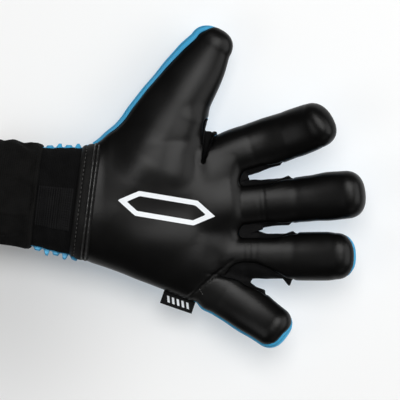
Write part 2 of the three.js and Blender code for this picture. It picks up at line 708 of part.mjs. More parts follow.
// The sleeve in front of and behind the flex line, each with a knit palm half and a ribbed back.
function addSleeve() {
  const sleeve = wristTube({
    from: SLEEVE.start, to: SLEEVE.end, outer: 0, inner: -SLEEVE.wall, steps: 6,
    cutFrom: -1, cutTo: SLEEVE.end + 2,
  });
  const reach = 300;
  const layer = (bottom, top) =>
    solid(
      new THREE.BoxGeometry(2 * reach, 2 * reach, top - bottom),
      placed(0, 0, (bottom + top) / 2),
    );
  const upper = layer(SLEEVE.seamHeight + HALF_GAP, reach);
  const lower = layer(-reach, SLEEVE.seamHeight - HALF_GAP);
  const addPart = (knitName, backName, part, ribs) => {
    const ribbed = ribs.reduce((body, station) => body.add(ribAt(station)), sleeve);
    addLargest(knitName, sleeve.intersect(part).intersect(upper), BLACK_KNIT);
    addLargest(backName, ribbed.intersect(part).intersect(lower), BLUE_LATEX);
  };
  const front = wristSide(SLEEVE.start, -1);
  const rear = wristSide(SLEEVE.end + 0.01, 1);
  addPart("wrist_front_knit", "wrist_front_back_panel", front, RIB.front);
  addPart("cuff_knit", "cuff_back_panel", rear, RIB.rear);
}

// Inner knit across the flex line: a barrel about the flex axis, so that the cuff swings over it.
function addInnerKnit() {
  const barrel = (inset) => {
    const half = INNER_KNIT.half - inset;
    const profile = sequence(8, (i) => {
      const y = -half * Math.cos((Math.PI * i) / 8);
      const fullness = 1 - Math.pow(Math.abs(y) / half, SQUARENESS);
      const radius = (INNER_KNIT.radius - inset) * Math.pow(fullness, 1 / SQUARENESS);
      return new THREE.Vector2(radius, y);
    });
    const matrix = placed(
      WRIST_CENTRE.x + arm.x * WRIST_FLEX, WRIST_CENTRE.y + arm.y * WRIST_FLEX, hingeZ, ARM_TURN,
    );
    return solid(new THREE.LatheGeometry(profile, 24), matrix);
  };
  const block = wristBlock(
    WRIST_FLEX - INNER_KNIT.reach, WRIST_FLEX + INNER_KNIT.reach, -PRISM_REACH,
  );
  const knit = barrel(0).subtract(barrel(INNER_KNIT.wall)).intersect(block);
  addLargest("wrist_inner_knit", knit, GREY_LINING);
}

// Binding over the palm's lower edge, on the palm side only.
function addBinding() {
  const tube = (offset) => palmLoft(offset).add(wristLoft(-0.5, 4.4, offset, 1));
  const inside = tube(BINDING.inner).add(wristLoft(4, 6, BINDING.inner, 1));
  const block = wristBlock(-BINDING.halfLength, BINDING.halfLength, BINDING.bottom);
  const binding = tube(BINDING.outer).subtract(inside).intersect(block);
  addLargest("palm_binding", binding, BLACK_TAPE);
}

// Elastic patch on the palm side of the wrist, in two pieces at the flex line.
function addElasticPatch(name, [from, to]) {
  const { angles, outer } = ELASTIC;
  const piece = wristPatch({ from, to, angles, outer, inner: GAP, along: 1, across: 6 });
  add(name, piece, BLACK_KNIT);
}

// ---------------------------------------------------------------- strap, hem and label
const STRAP_LAYERS = [
  { name: "loop_pad", inset: 5, angles: [232, 312], thick: 0.6, across: 8, look: BLACK_TAPE },
  { name: "hook_pad", inset: 7, angles: [262, 310], thick: 0.7, across: 6, look: BLACK_TAPE },
  { name: "strap_tail", inset: 2.5, angles: [206, 318], thick: 1.8, across: 12, look: BLACK_KNIT },
];

// The badge lies on the tail, at the middle of the strap.
function addBadge(tailOutside) {
  const station = (STRAP.start + STRAP.end) / 2;
  const at = WRIST_CENTRE.clone().addScaledVector(arm, station);
  const below = valueAt(WRIST_HALF_THICK, station) + tailOutside + GAP + BADGE.thick;
  const matrix = placed(
    at.x, at.y, valueAt(WRIST_RISE, station) - below, ARM_TURN + Math.PI / 2,
  );
  const shape = roundedShape(BADGE.length, BADGE.width, BADGE.round);
  addSolid("strap_badge", extruded(shape, BADGE.thick, matrix), BLACK_RUBBER);
}

function addStrap() {
  let outside = STRAP.slack + STRAP.wall;
  const band = wristTube({
    from: STRAP.start, to: STRAP.end, outer: outside, inner: STRAP.slack, steps: 2,
  });
  addSolid("strap_band", band, BLACK_KNIT);
  for (const { name, inset, angles, thick, across, look } of STRAP_LAYERS) {
    const inner = outside + GAP;
    outside = inner + thick;
    const layer = wristPatch({
      from: STRAP.start + inset, to: STRAP.end - inset,
      angles, outer: outside, inner, along: 2, across,
    });
    add(name, layer, look);
  }
  addBadge(outside);
}

function addHem() {
  const hem = wristTube({
    from: SLEEVE.end + GAP, to: HEM.end, outer: HEM.outer, inner: HEM.inner, steps: 1,
    cutFrom: SLEEVE.end - OVERCUT,
  });
  addSolid("cuff_hem", hem, BLACK_TAPE);
}

// Side label in the seam on the little-finger side.
function addLabel() {
  const matrix = placed(...LABEL.hinge, rad(LABEL.heading)).multiply(
    placed(0, -LABEL.reach / 2 - LABEL.inset, -LABEL.thick / 2),
  );
  const shape = roundedShape(LABEL.length, LABEL.reach, LABEL.round);
  addSolid("side_label", extruded(shape, LABEL.thick, matrix, 2), BLACK_TAPE);
}

// ---------------------------------------------------------------- assembly
addPalmAndBack();
for (const [name, web] of Object.entries(WEBS)) addWeb(name, web);
for (const [name, digit] of Object.entries(DIGITS))
  digit.joints.forEach((_, segment) => addSegment(name, segment));

const nearSkin = handBody(GAP, false);
addPalmPrint(nearSkin);
addKnucklePad(nearSkin);

addSleeve();
addInnerKnit();
addBinding();
addElasticPatch("elastic_patch_front", ELASTIC.front);
addElasticPatch("elastic_patch_rear", ELASTIC.rear);
addStrap();
addHem();
addLabel();

// The origin moves to the middle of the underside.
const bounds = new THREE.Box3().setFromObject(group);
const middle = bounds.getCenter(new THREE.Vector3());
for (const mesh of group.children)
  mesh.geometry.translate(-middle.x, -middle.y, -bounds.min.z);

export default group;
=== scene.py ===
"""Goalkeeper glove for the left hand, lying palm up.

The fingers point along +x, the thumb leans towards +y, the cuff runs towards -x and the palm faces +z.
The hand's skin is one smooth implicit surface: a palm, five bent digits and a web by the thumb, joined
softly. It is sampled once and cut into sewn panels, each panel gets its own edges, creases and relief,
and is then given its thickness. Panels are split between the bodies halfway along each segment of a
digit. Lengths are millimetres in the glove's build frame, whose origin is found from the wrist joint;
meshes are made in metres in the row frame.
"""

import json
import math
from collections import namedtuple

import bmesh
import bpy
import numpy as np
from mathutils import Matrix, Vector


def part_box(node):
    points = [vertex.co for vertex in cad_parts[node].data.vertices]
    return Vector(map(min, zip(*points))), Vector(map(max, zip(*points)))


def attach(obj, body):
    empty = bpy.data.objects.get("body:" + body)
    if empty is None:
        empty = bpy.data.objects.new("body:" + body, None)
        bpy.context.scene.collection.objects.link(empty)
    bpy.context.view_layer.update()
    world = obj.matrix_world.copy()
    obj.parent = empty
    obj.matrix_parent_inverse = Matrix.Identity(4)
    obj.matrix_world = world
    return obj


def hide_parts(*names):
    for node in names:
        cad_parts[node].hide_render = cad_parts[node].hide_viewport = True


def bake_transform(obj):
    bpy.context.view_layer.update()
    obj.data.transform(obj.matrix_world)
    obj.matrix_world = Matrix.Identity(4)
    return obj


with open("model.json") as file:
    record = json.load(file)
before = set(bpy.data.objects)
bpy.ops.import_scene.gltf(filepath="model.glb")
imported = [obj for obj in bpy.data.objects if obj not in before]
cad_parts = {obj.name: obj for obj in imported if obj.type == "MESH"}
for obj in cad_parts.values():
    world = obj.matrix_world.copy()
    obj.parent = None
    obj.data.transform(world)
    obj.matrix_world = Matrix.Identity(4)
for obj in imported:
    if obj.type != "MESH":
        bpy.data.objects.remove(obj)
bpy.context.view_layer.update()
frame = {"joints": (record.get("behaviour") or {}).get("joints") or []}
JOINTS = {joint["name"]: joint for joint in frame["joints"]}
GRID_STEP = 1.15  # spacing of the skin's sampling grid

# ------------------------------------------------------------------ build frame
LEAN = math.radians(7)  # the cuff's turn away from -x, towards the thumb
ARM = np.array([-math.cos(LEAN), math.sin(LEAN), 0.0])
ARM_SIDE = np.array([math.sin(LEAN), math.cos(LEAN), 0.0])
WRIST_CENTRE = np.array([-1.0, -4.2, 0.0])
WRIST_STATION = 20.0  # from the wrist's centre to its joint, along the arm
WRIST_SLOPE = 3.4 / 38  # rise towards the palm side per mm along the arm
wrist_pin = WRIST_CENTRE + ARM * WRIST_STATION + np.array([0, 0, WRIST_SLOPE * WRIST_STATION])
ORIGIN = np.array(JOINTS["wrist_bend"]["pos_m"]) * 1000 - wrist_pin


def to_row(points):
    """Build-frame millimetres to row-frame metres."""
    return (np.asarray(points, float) + ORIGIN) / 1000


def to_build(points):
    return np.asarray(points, float) * 1000 - ORIGIN


# ------------------------------------------------------------------ curves and vectors
def smoothstep(start, end, x):
    t = np.clip((x - start) / (end - start), 0, 1)
    return t * t * (3 - 2 * t)


def bell(x, width):
    return np.exp(-((x / width) ** 2))


def bell_2d(x, x_width, y, y_width):
    return np.exp(-((x / x_width) ** 2) - (y / y_width) ** 2)


def rolled_edge(distance, radius, depth):
    """Inward movement near an edge, round like a folded edge."""
    t = np.clip(distance / radius, 0, 1)
    return -depth * (1 - np.sqrt(np.clip(1 - (1 - t) ** 2, 0, 1)))


def soft_min(first, second, reach):
    overlap = np.maximum(reach - np.abs(first - second), 0) / reach
    return np.minimum(first, second) - overlap * overlap * reach / 4


def wavy(points, scale, seed):
    """Smooth deterministic unevenness, about -1 to 1."""
    random = np.random.default_rng(100 + seed)
    total = np.zeros(len(points))
    for _ in range(7):
        wave = random.normal(size=3)
        wave = wave / np.linalg.norm(wave) * (2 * math.pi / scale) * random.uniform(0.6, 1.5)
        total += np.sin(points @ wave + random.uniform(0, 6.28))
    return total / 3.2


def unit(vectors, least=0.0):
    return vectors / np.maximum(np.linalg.norm(vectors, axis=-1, keepdims=True), least)


def face_normals(points, faces):
    """The cross product at each face's first corner, not made unit."""
    corner = points[faces]
    return np.cross(corner[:, 1] - corner[:, 0], corner[:, 2] - corner[:, 0])


def curve_table(rows):
    """A smooth curve through (position, value) rows, as a fine table for np.interp."""
    x, y = np.array(rows, float).T
    tangent = np.zeros(len(x))
    slope = np.diff(y) / np.diff(x)
    tangent[0], tangent[-1] = slope[0], slope[-1]
    for i in range(1, len(x) - 1):
        before, after = slope[i - 1], slope[i]
        tangent[i] = 0 if before * after <= 0 else 2 * before * after / (before + after)
    fine = np.linspace(x[0], x[-1], 400)
    k = np.clip(np.searchsorted(x, fine) - 1, 0, len(x) - 2)
    span = x[k + 1] - x[k]
    t = (fine - x[k]) / span
    values = (
        (2 * t**3 - 3 * t**2 + 1) * y[k]
        + (t**3 - 2 * t**2 + t) * span * tangent[k]
        + (-2 * t**3 + 3 * t**2) * y[k + 1]
        + (t**3 - t**2) * span * tangent[k + 1]
    )
    return fine, values


# ------------------------------------------------------------------ digits
SECTION_POWER = 2.35  # roundness of a digit's section, between an ellipse and a box


class Digit:
    """A digit that runs straight from its base, then curls up along an arc."""

    def __init__(self, base, heading, length, curl, joints, start, width, thick, tip,
                 bend_from=0, askew=0):
        angle = math.radians(heading)
        self.base = np.array(base, float)
        self.direction = np.array([math.cos(angle), math.sin(angle)])
        self.length, self.joints, self.start = length, joints, start
        self.tip, self.askew, self.bend_from = tip, askew, bend_from
        self.width, self.thick = curve_table(width), curve_table(thick)
        self.radius = (length - bend_from) / math.radians(curl)
        self.straight = length - tip

    def axis_at(self, station):
        """A point on the axis, in the build frame."""
        bend = max(0.0, station - self.bend_from) / self.radius
        along, rise = station, 0.0
        if station > self.bend_from:
            along = self.bend_from + math.sin(bend) * self.radius
            rise = (1 - math.cos(bend)) * self.radius
        point = self.base.copy()
        point[:2] += self.direction * along
        point[2] += rise
        return point

    def locate(self, points):
        """Station, distance towards the thumb's side and height of points beside the bent axis."""
        offset = points - self.base
        ux, uy = self.direction
        along = offset[:, 0] * ux + offset[:, 1] * uy
        side = -offset[:, 0] * uy + offset[:, 1] * ux
        z = offset[:, 2]
        bent = along > self.bend_from
        past = np.maximum(along - self.bend_from, 0)
        bend = np.arctan2(past, self.radius - z)
        station = np.where(bent, self.bend_from + self.radius * bend, along)
        height = np.where(bent, self.radius - np.hypot(past, self.radius - z), z)
        return station, side, height

    def half_width(self, station, first=-np.inf):
        return np.interp(np.clip(station, first, self.straight), *self.width)


# heading and curl in degrees; joints and start are stations along the axis;
# width and thick hold (station, half size); tip is the length of the rounded end
DIGITS = {
    "index": Digit(
        base=(122.9, 36.6, -1), heading=19.3, length=73.2, curl=45, joints=(12, 34, 54), start=-30,
        width=[(-30, 17.0), (-8, 19.2), (17, 19.4), (30, 18.6), (54, 18.2), (60, 17.4)],
        thick=[(-30, 14), (0, 13.6), (30, 12.8), (60, 12.0)], tip=15.5, askew=0.20,
    ),
    "middle": Digit(
        base=(122.9, -6, -1), heading=5.9, length=92, curl=20, joints=(13, 39, 64), start=-30,
        width=[(-30, 16.5), (0, 18.8), (24, 18.9), (38, 17.7), (50, 17.8), (64, 18.8), (78, 18.4)],
        thick=[(-30, 14), (0, 13.8), (38, 13), (76, 12.2)], tip=14.5,
    ),
    "ring": Digit(
        base=(122.9, -45.9, -1), heading=0.4, length=84.0, curl=20, joints=(12, 36, 59), start=-30,
        width=[(-30, 16.5), (0, 18.5), (24, 18.6), (40, 18.6), (62, 18.8), (70, 17.8)],
        thick=[(-30, 14), (0, 13.6), (36, 12.8), (70, 12)], tip=15,
    ),
    "little": Digit(
        base=(97.9, -68.4, -1), heading=-35.4, length=68.5, curl=25, joints=(11, 31, 49), start=-24,
        width=[(-26, 16.5), (0, 18.4), (10, 18.7), (24, 18.6), (34, 18.3), (46, 17.2), (56, 16.6)],
        thick=[(-26, 13.5), (0, 13), (29, 12.2), (55, 11.4)], tip=13.5,
    ),
    "thumb": Digit(
        base=(46.9, 40.4, 0), heading=58.2, length=104.6, curl=6, joints=(42, 73), start=-8,
        width=[(-14, 29), (10, 29.3), (32, 27.6), (43, 25.9), (53, 24.5), (65, 22.9), (77, 20.8),
               (89, 17.4), (92, 16.6)],
        thick=[(-14, 17.5), (4, 17), (38, 15.2), (62, 14), (90, 12.0)], tip=14.5,
        bend_from=38, askew=0.10,
    ),
    "web": Digit(
        base=(70.6, 24, -1), heading=73, length=44, curl=0.1, joints=(), start=-4,
        width=[(0, 11), (34, 9.6)], thick=[(0, 15), (34, 12.4)], tip=9,
    ),
}
FINGERS = ("index", "middle", "ring", "little")
THUMB_AND_FINGERS = ("thumb",) + FINGERS
OnDigit = namedtuple("OnDigit", "station side height value")


def digit_value(name, station, side, height):
    """Roughly the distance outside a digit, negative inside."""
    digit = DIGITS[name]
    width = digit.half_width(station)
    thick = np.interp(np.minimum(station, digit.straight), *digit.thick)
    if name == "thumb":  # thinner on its palm side, towards the outer edge and the tip
        thinning = 0.26 * smoothstep(-0.25, 0.95, side / width) + 0.20 * smoothstep(40, 92, station)
        thick = thick * (1 - thinning * (height > 0))
    if name == "little":  # fuller along the root of its outer edge
        swell = 2.2 * bell(station - 2, 6) + 0.5 * bell(station - 11, 8)
        width = width + swell * smoothstep(0.0, -0.7, side / width)
    past_tip = np.maximum(station - digit.straight, 0)
    before = np.maximum(digit.start - station, 0)
    tip = digit.tip * (1 - digit.askew * np.clip(side / width, -1, 1))
    ratio = (
        np.abs(side / width) ** SECTION_POWER
        + np.abs(height / thick) ** SECTION_POWER
        + (past_tip / tip) ** 2.2
        + (before / 12) ** 2.2
    ) ** (1 / SECTION_POWER)
    distance = np.sqrt(side * side + height * height + past_tip * past_tip + before * before)
    return distance * (1 - 1 / np.maximum(ratio, 1e-3))


# ------------------------------------------------------------------ palm
# (x, y) of the palm's edge on the little finger's side and on the thumb's side
PALM_LITTLE_EDGE = curve_table([
    (-24, -45), (-14, -46), (-4, -47.8), (2, -50.4), (12.3, -53.9), (24.6, -58.5), (37, -63.6),
    (49, -68.0), (60, -72.1), (70, -75.6), (79, -78.0), (87, -79.2), (94, -73.5), (102, -64),
    (110, -53), (118, -46),
])
PALM_THUMB_EDGE = curve_table([
    (-24, 37), (-14, 37.4), (-4, 38.6), (2, 41.2), (9, 44.4), (18, 47), (30, 47), (43, 45),
    (56, 41), (70, 36), (84, 32), (98, 33), (110, 33), (118, 30),
])
# (x, half thickness) above and below the mid-plane
PALM_ABOVE = curve_table([
    (-24, 23), (-4, 22.8), (8, 22.6), (30, 22), (56, 20), (76, 18.0), (98, 14.2), (112, 11.8),
])
PALM_BELOW = curve_table([
    (-24, 23.5), (-4, 23.6), (12, 22.8), (40, 20.6), (70, 18.8), (98, 15.8), (112, 13.4),
])
PALM_POWER = 2.5


def palm_value(points):
    x, y, z = points[:, 0], points[:, 1], points[:, 2]
    little_edge, thumb_edge = np.interp(x, *PALM_LITTLE_EDGE), np.interp(x, *PALM_THUMB_EDGE)
    middle, half = (little_edge + thumb_edge) / 2, (thumb_edge - little_edge) / 2
    above = np.interp(x, *PALM_ABOVE)
    # a hollow in the middle and a swell on each side of it
    above = above * (
        1
        - 0.15 * bell_2d(x - 64, 30, y + 14, 22)
        + 0.05 * bell_2d(x - 40, 24, y - 24, 15)
        + 0.05 * bell_2d(x - 36, 26, y + 40, 14)
    )
    # tilt below the fingers
    above = above + 0.045 * (y + 10) * smoothstep(76, 98, x) * (1 - smoothstep(112, 122, x))
    # slope down from a line across the thumb's root
    slope = (x - 50) * -0.809 + (y - 22) * 0.587
    slope_span = smoothstep(-12, 14, x) * (1 - smoothstep(60, 90, x))
    above = above * (1 - 0.17 * smoothstep(1, 36, slope) * slope_span)
    across = (y - middle) / half
    above = above * (
        1
        - 0.13 * smoothstep(-0.05, -0.95, across) * smoothstep(-10, 25, x)
        + 0.03 * np.exp(-(((across - 0.45) / 0.35) ** 2))
    )
    depth = np.where(z > 0, above, np.interp(x, *PALM_BELOW))
    past_end = np.maximum(x - 108, 0)
    ratio = (
        np.abs((y - middle) / half) ** PALM_POWER
        + np.abs(z / depth) ** PALM_POWER
        + (past_end / 12) ** 2.2
    ) ** (1 / PALM_POWER)
    distance = np.sqrt((y - middle) ** 2 + z * z + past_end * past_end)
    return distance * (1 - 1 / np.maximum(ratio, 1e-3))


# ------------------------------------------------------------------ slot and webs between digits
# Tapered strips in plan: from, half width, to, half width
# The slot between the thumb and the first finger is open at the top, with a web at its bottom.
SLOT = ((88.4, 27.0), 0.9, (94.6, 56.0), 3.4)
SLOT_FLOOR = -2.5
GAPS = [
    ((112.0, 17.0), 6.0, (123.0, 14.3), 0.8),
    ((116.0, -25.2), 5.5, (133.6, -24.3), 0.7),
    ((106.0, -53.0), 6.0, (117.6, -60.6), 1.0),
]
LOW_WEB = ((89.0, 33.0), 5.0, (93.3, 46.4), 4.1)


def strip_distance(points, strip):
    """Plan distance outside a tapered strip, and the fraction along it."""
    start, start_half, end, end_half = strip
    start = np.array(start)
    line = np.array(end) - start
    t = np.clip(((points[:, :2] - start) @ line) / (line @ line), 0, 1)
    nearest = start + t[:, None] * line
    half = start_half + (end_half - start_half) * t
    return np.hypot(*(points[:, :2] - nearest).T) - half, t


def web_value(points, strip, middle=-0.3, tall=6.6):
    outside, _ = strip_distance(points, strip)
    above = np.abs(points[:, 2] - middle) - tall
    corner = np.hypot(np.maximum(outside, 0), np.maximum(above, 0))
    return corner + np.minimum(np.maximum(outside, above), 0) - 0.5


def fields(points):
    """The skin's value (negative inside), the slot's plan distance and the place on each digit."""
    near = {}
    for name, digit in DIGITS.items():
        place = digit.locate(points)
        near[name] = OnDigit(*place, digit_value(name, *place))
    value = soft_min(palm_value(points), near["thumb"].value, 18.0)
    value = soft_min(value, near["web"].value, 10.0)
    for name in FINGERS:
        reach = 1.2 + 9.0 * (1 - smoothstep(-13, 1, near[name].station))
        value = soft_min(value, near[name].value, reach)
    for gap in GAPS:
        value = soft_min(value, web_value(points, gap), 1.6)
    value = soft_min(value, web_value(points, LOW_WEB, middle=-8.6, tall=3.0), 2.5)
    near["slot"], t = strip_distance(points, SLOT)
    slot_cut = np.maximum(near["slot"], SLOT_FLOOR - 2.0 * t - points[:, 2])
    near["skin"] = -soft_min(-value, slot_cut, 1.6)
    return near


def gradient(points, step=0.05):
    slopes = np.zeros_like(points)
    for i in range(3):
        shift = np.zeros(3)
        shift[i] = step
        change = fields(points + shift)["skin"] - fields(points - shift)["skin"]
        slopes[:, i] = change / (2 * step)
    return slopes


# ------------------------------------------------------------------ skin as arrays
class Skin:
    """Triangles with any number of named values per vertex."""

    def __init__(self, points, triangles, data):
        self.points, self.triangles, self.data = points, triangles, data

    def used_only(self):
        """The same triangles without the points that none of them uses."""
        used = np.zeros(len(self.points), bool)
        used[self.triangles.ravel()] = True
        index = np.cumsum(used) - 1
        data = {key: values[used] for key, values in self.data.items()}
        return Skin(self.points[used], index[self.triangles], data)

    def clip(self, level):
        """The part where level is positive, cut along level = 0."""
        level = np.where(np.abs(level) < 1e-5, 1e-5, level)
        inside = level > 0
        count = inside[self.triangles].sum(1)
        cut = self.triangles[(count == 1) | (count == 2)]
        one = inside[cut].sum(1) == 1
        # turn each cut triangle so that its odd vertex comes first
        first = np.where(one[:, None], inside[cut], ~inside[cut]).argmax(1)
        row = np.arange(len(cut))
        a, b, c = (cut[row, (first + turn) % 3] for turn in range(3))
        pairs = np.concatenate([np.stack([a, b], 1), np.stack([a, c], 1)])
        edges, inverse = np.unique(np.sort(pairs, 1), axis=0, return_inverse=True)
        inverse = inverse.ravel() + len(self.points)
        start, end = edges.T
        weight = level[start] / (level[start] - level[end])

        def with_cuts(values):
            w = weight.reshape((-1,) + (1,) * (values.ndim - 1))
            return np.concatenate([values, values[start] * (1 - w) + values[end] * w])

        ab, ac = inverse[: len(cut)], inverse[len(cut):]
        two = ~one
        triangles = np.concatenate([
            self.triangles[count == 3],
            np.stack([a[one], ab[one], ac[one]], 1),
            np.stack([ab[two], b[two], c[two]], 1),
            np.stack([ab[two], c[two], ac[two]], 1),
        ])
        data = {key: with_cuts(values) for key, values in self.data.items()}
        return Skin(with_cuts(self.points), triangles, data).used_only()

    def normals(self):
        faces = face_normals(self.points, self.triangles)
        total = np.zeros_like(self.points)
        for i in range(3):
            np.add.at(total, self.triangles[:, i], faces)
        return unit(total, 1e-12)

    def without_scraps(self, least=30):
        """Drops connected parts with fewer triangles than least."""
        label = np.arange(len(self.points))
        for _ in range(400):
            lowest = label[self.triangles].min(1)
            new = label.copy()
            for i in range(3):
                np.minimum.at(new, self.triangles[:, i], lowest)
            new = new[new]
            if (new == label).all():
                break
            label = new
        part = label[self.triangles[:, 0]]
        parts, counts = np.unique(part, return_counts=True)
        keep = np.isin(part, parts[counts >= least])
        return Skin(self.points, self.triangles[keep], self.data).used_only()

    def boundary_edges(self):
        edges = np.concatenate([self.triangles[:, pair] for pair in ([0, 1], [1, 2], [2, 0])])
        _, first, count = np.unique(
            np.sort(edges, 1), axis=0, return_index=True, return_counts=True
        )
        return edges[first[count == 1]]


def surface_nets(field, lowest, step):
    """Points and quads of the surface where a sampled field changes sign, one point per cell."""
    inside = field < 0
    shape = field.shape
    total = np.zeros([n - 1 for n in shape] + [3], np.float32)
    crossings = np.zeros(total.shape[:3], np.float32)

    def edge_ends(axis, shift, corner):
        part = [slice(corner[i], shape[i] - 1 + corner[i]) for i in range(3)]
        part[axis] = slice(shift, shape[axis] - 1 + shift)
        return field[tuple(part)]

    for axis in range(3):
        first, second = [i for i in range(3) if i != axis]
        for corner_1 in (0, 1):
            for corner_2 in (0, 1):
                corner = {axis: 0, first: corner_1, second: corner_2}
                start, end = edge_ends(axis, 0, corner), edge_ends(axis, 1, corner)
                crossed = (start < 0) != (end < 0)
                t = np.where(crossed, start / np.where(crossed, start - end, 1), 0)
                total[..., axis] += np.where(crossed, t, 0)
                total[..., first] += crossed * corner_1
                total[..., second] += crossed * corner_2
                crossings += crossed
    active = crossings > 0
    index = np.full(active.shape, -1, np.int64)
    index[active] = np.arange(active.sum())
    points = (np.argwhere(active) + total[active] / crossings[active][:, None]) * step + lowest
    quads = []
    for axis in range(3):
        first, second = (axis + 1) % 3, (axis + 2) % 3
        lower, upper = [slice(None)] * 3, [slice(None)] * 3
        lower[axis], upper[axis] = slice(0, -1), slice(1, None)
        before, after = inside[tuple(lower)], inside[tuple(upper)]
        edges = np.argwhere(before != after)
        enclosed = (edges[:, first] > 0) & (edges[:, second] > 0)
        enclosed &= (edges[:, first] < shape[first] - 1) & (edges[:, second] < shape[second] - 1)
        edges = edges[enclosed]
        ring = []
        for shift_1, shift_2 in ((-1, -1), (0, -1), (0, 0), (-1, 0)):
            cell = edges.copy()
            cell[:, first] += shift_1
            cell[:, second] += shift_2
            ring.append(index[tuple(cell.T)])
        quad = np.stack(ring, 1)
        flip = after[tuple(edges.T)]
        quad[flip] = quad[flip][:, ::-1]
        quads.append(quad)
    return points.astype(float), np.concatenate(quads)


def make_skin():
    lowest = np.array([-22.0, -116.0, -27.0])
    highest = np.array([220.0, 140.0, 52.0])
    counts = np.ceil((highest - lowest) / GRID_STEP).astype(int) + 1
    xs, ys, zs = (lowest[i] + GRID_STEP * np.arange(counts[i]) for i in range(3))
    values = np.empty(counts, np.float32)
    slab = 24  # layers sampled at a time
    for i in range(0, counts[0], slab):
        x, y, z = np.meshgrid(xs[i:i + slab], ys, zs, indexing="ij")
        samples = np.stack([x.ravel(), y.ravel(), z.ravel()], 1)
        values[i:i + slab] = fields(samples)["skin"].reshape(x.shape)
    points, quads = surface_nets(values, lowest, GRID_STEP)
    for _ in range(3):  # settle the points onto the surface
        value = fields(points)["skin"]
        slopes = gradient(points)
        move = (value / np.maximum((slopes**2).sum(1), 0.2))[:, None] * slopes
        points = points - np.clip(move, -GRID_STEP, GRID_STEP)
    # split each quad along its shorter diagonal
    diagonal_1 = np.linalg.norm(points[quads[:, 0]] - points[quads[:, 2]], axis=1)
    diagonal_2 = np.linalg.norm(points[quads[:, 1]] - points[quads[:, 3]], axis=1)
    short = diagonal_1 <= diagonal_2
    triangles = np.concatenate([
        quads[short][:, [0, 1, 2]], quads[short][:, [0, 2, 3]],
        quads[~short][:, [0, 1, 3]], quads[~short][:, [1, 2, 3]],
    ])
    normals = unit(gradient(points), 1e-9)
    if (face_normals(points, triangles) * normals[triangles[:, 0]]).sum() < 0:
        triangles = triangles[:, ::-1]
    return Skin(points, triangles, {"skin_normal": normals, "rest": points.copy()})


# ------------------------------------------------------------------ where the panels end
OPEN_EDGE = 5.2  # foam stops this far above the mid-plane where the back shows
ROLLED_EDGE = -3.4  # and this far below it where the foam rolls round the fingers


def height_above_seam(points, near):
    """How far a point lies above the seam between palm foam and back. The seam is high along the
    wrist and the thumb's outer edge, and low where the foam rolls round the fingers."""
    x, y, z = points.T
    upper = smoothstep(4, 26, y) * (1 - smoothstep(58, 78, x))
    low = ROLLED_EDGE * 0.2
    palm = z - (low + (OPEN_EDGE * 1.35 - low) * upper - 1.6 * (1 - upper))
    total, weight = np.zeros(len(points)), np.zeros(len(points))
    for name in THUMB_AND_FINGERS:
        station, side, height, value = near[name]
        digit = DIGITS[name]
        across = side / digit.half_width(station, digit.start)
        tipwards = smoothstep(digit.straight + 2, digit.length - 1, station)
        if name == "thumb":
            outer = smoothstep(-0.25, 0.55, across)
            opened = np.interp(station, [0, 60, 92], [6.6, 6.0, 5.0])
            closing = 1 - 0.75 * tipwards * (1 - smoothstep(0.0, 0.6, across))
            seam = ROLLED_EDGE + (opened - ROLLED_EDGE) * outer * closing
        elif name == "little":
            outer = smoothstep(0.1, 0.7, -across)
            round_tip = tipwards * smoothstep(-0.9, 0.1, -across) * 0.95
            seam = ROLLED_EDGE + (4.6 - ROLLED_EDGE) * np.maximum(outer, round_tip)
        elif name == "ring":
            seam = ROLLED_EDGE + (0.2 - ROLLED_EDGE) * tipwards
        else:
            seam = ROLLED_EDGE - (7.5 if name == "index" else 3.0) * tipwards
        share = smoothstep(7, 0, np.maximum(value, 0)) * smoothstep(-16, 3, station)
        total += share * (height - seam)
        weight += share
    w = np.clip(weight, 0, 1)
    return w * total / np.maximum(weight, 1e-6) + (1 - w) * palm


# Stretch gussets: digit, side (+ towards the thumb), end station, upper edge, bulge at the crotch,
# bulge along it, height of the tooth where it ends
Gusset = namedtuple("Gusset", "digit side end top crotch along tooth")
GUSSETS = [
    Gusset("index", -1, 22.5, 8.5, 0.3, 1.1, 0.9),
    Gusset("middle", 1, 36.6, 9.0, 1.2, 0.3, 2.5),
    Gusset("middle", -1, 33.2, 8.5, 1.2, 0.7, 1.5),
    Gusset("ring", 1, 38.2, 9.0, 2.4, 0.3, 1.9),
    Gusset("ring", -1, 35.0, 10.8, -0.8, -1.0, 7.0),
    Gusset("little", 1, 36.0, 9.0, 1.2, 0.6, 1.9),
]
CROTCHES = [((120.5, 15.4), 8.5), ((124.5, -24.8), 9.0), ((112.5, -57.0), 10.5)]  # centre, radius
# (x, y) of the edge of a lens-shaped patch on the ring finger's side next to the little finger
LENS_X = [106, 110, 114, 120, 129, 138.5, 148.3, 156]
LENS_Y = [-60, -54.5, -51.6, -50.4, -51.0, -54.8, -60.5, -66]


def gusset_band(gusset, place):
    """Distance inside a gusset's upper and lower edges, which close in towards its end."""
    end = gusset.end
    high = gusset.top - (gusset.top - 4.0) * smoothstep(end - 18, end, place.station)
    low = -7.0 + 3.0 * smoothstep(end - 14, end, place.station)
    return np.minimum(high - place.height, place.height - low)


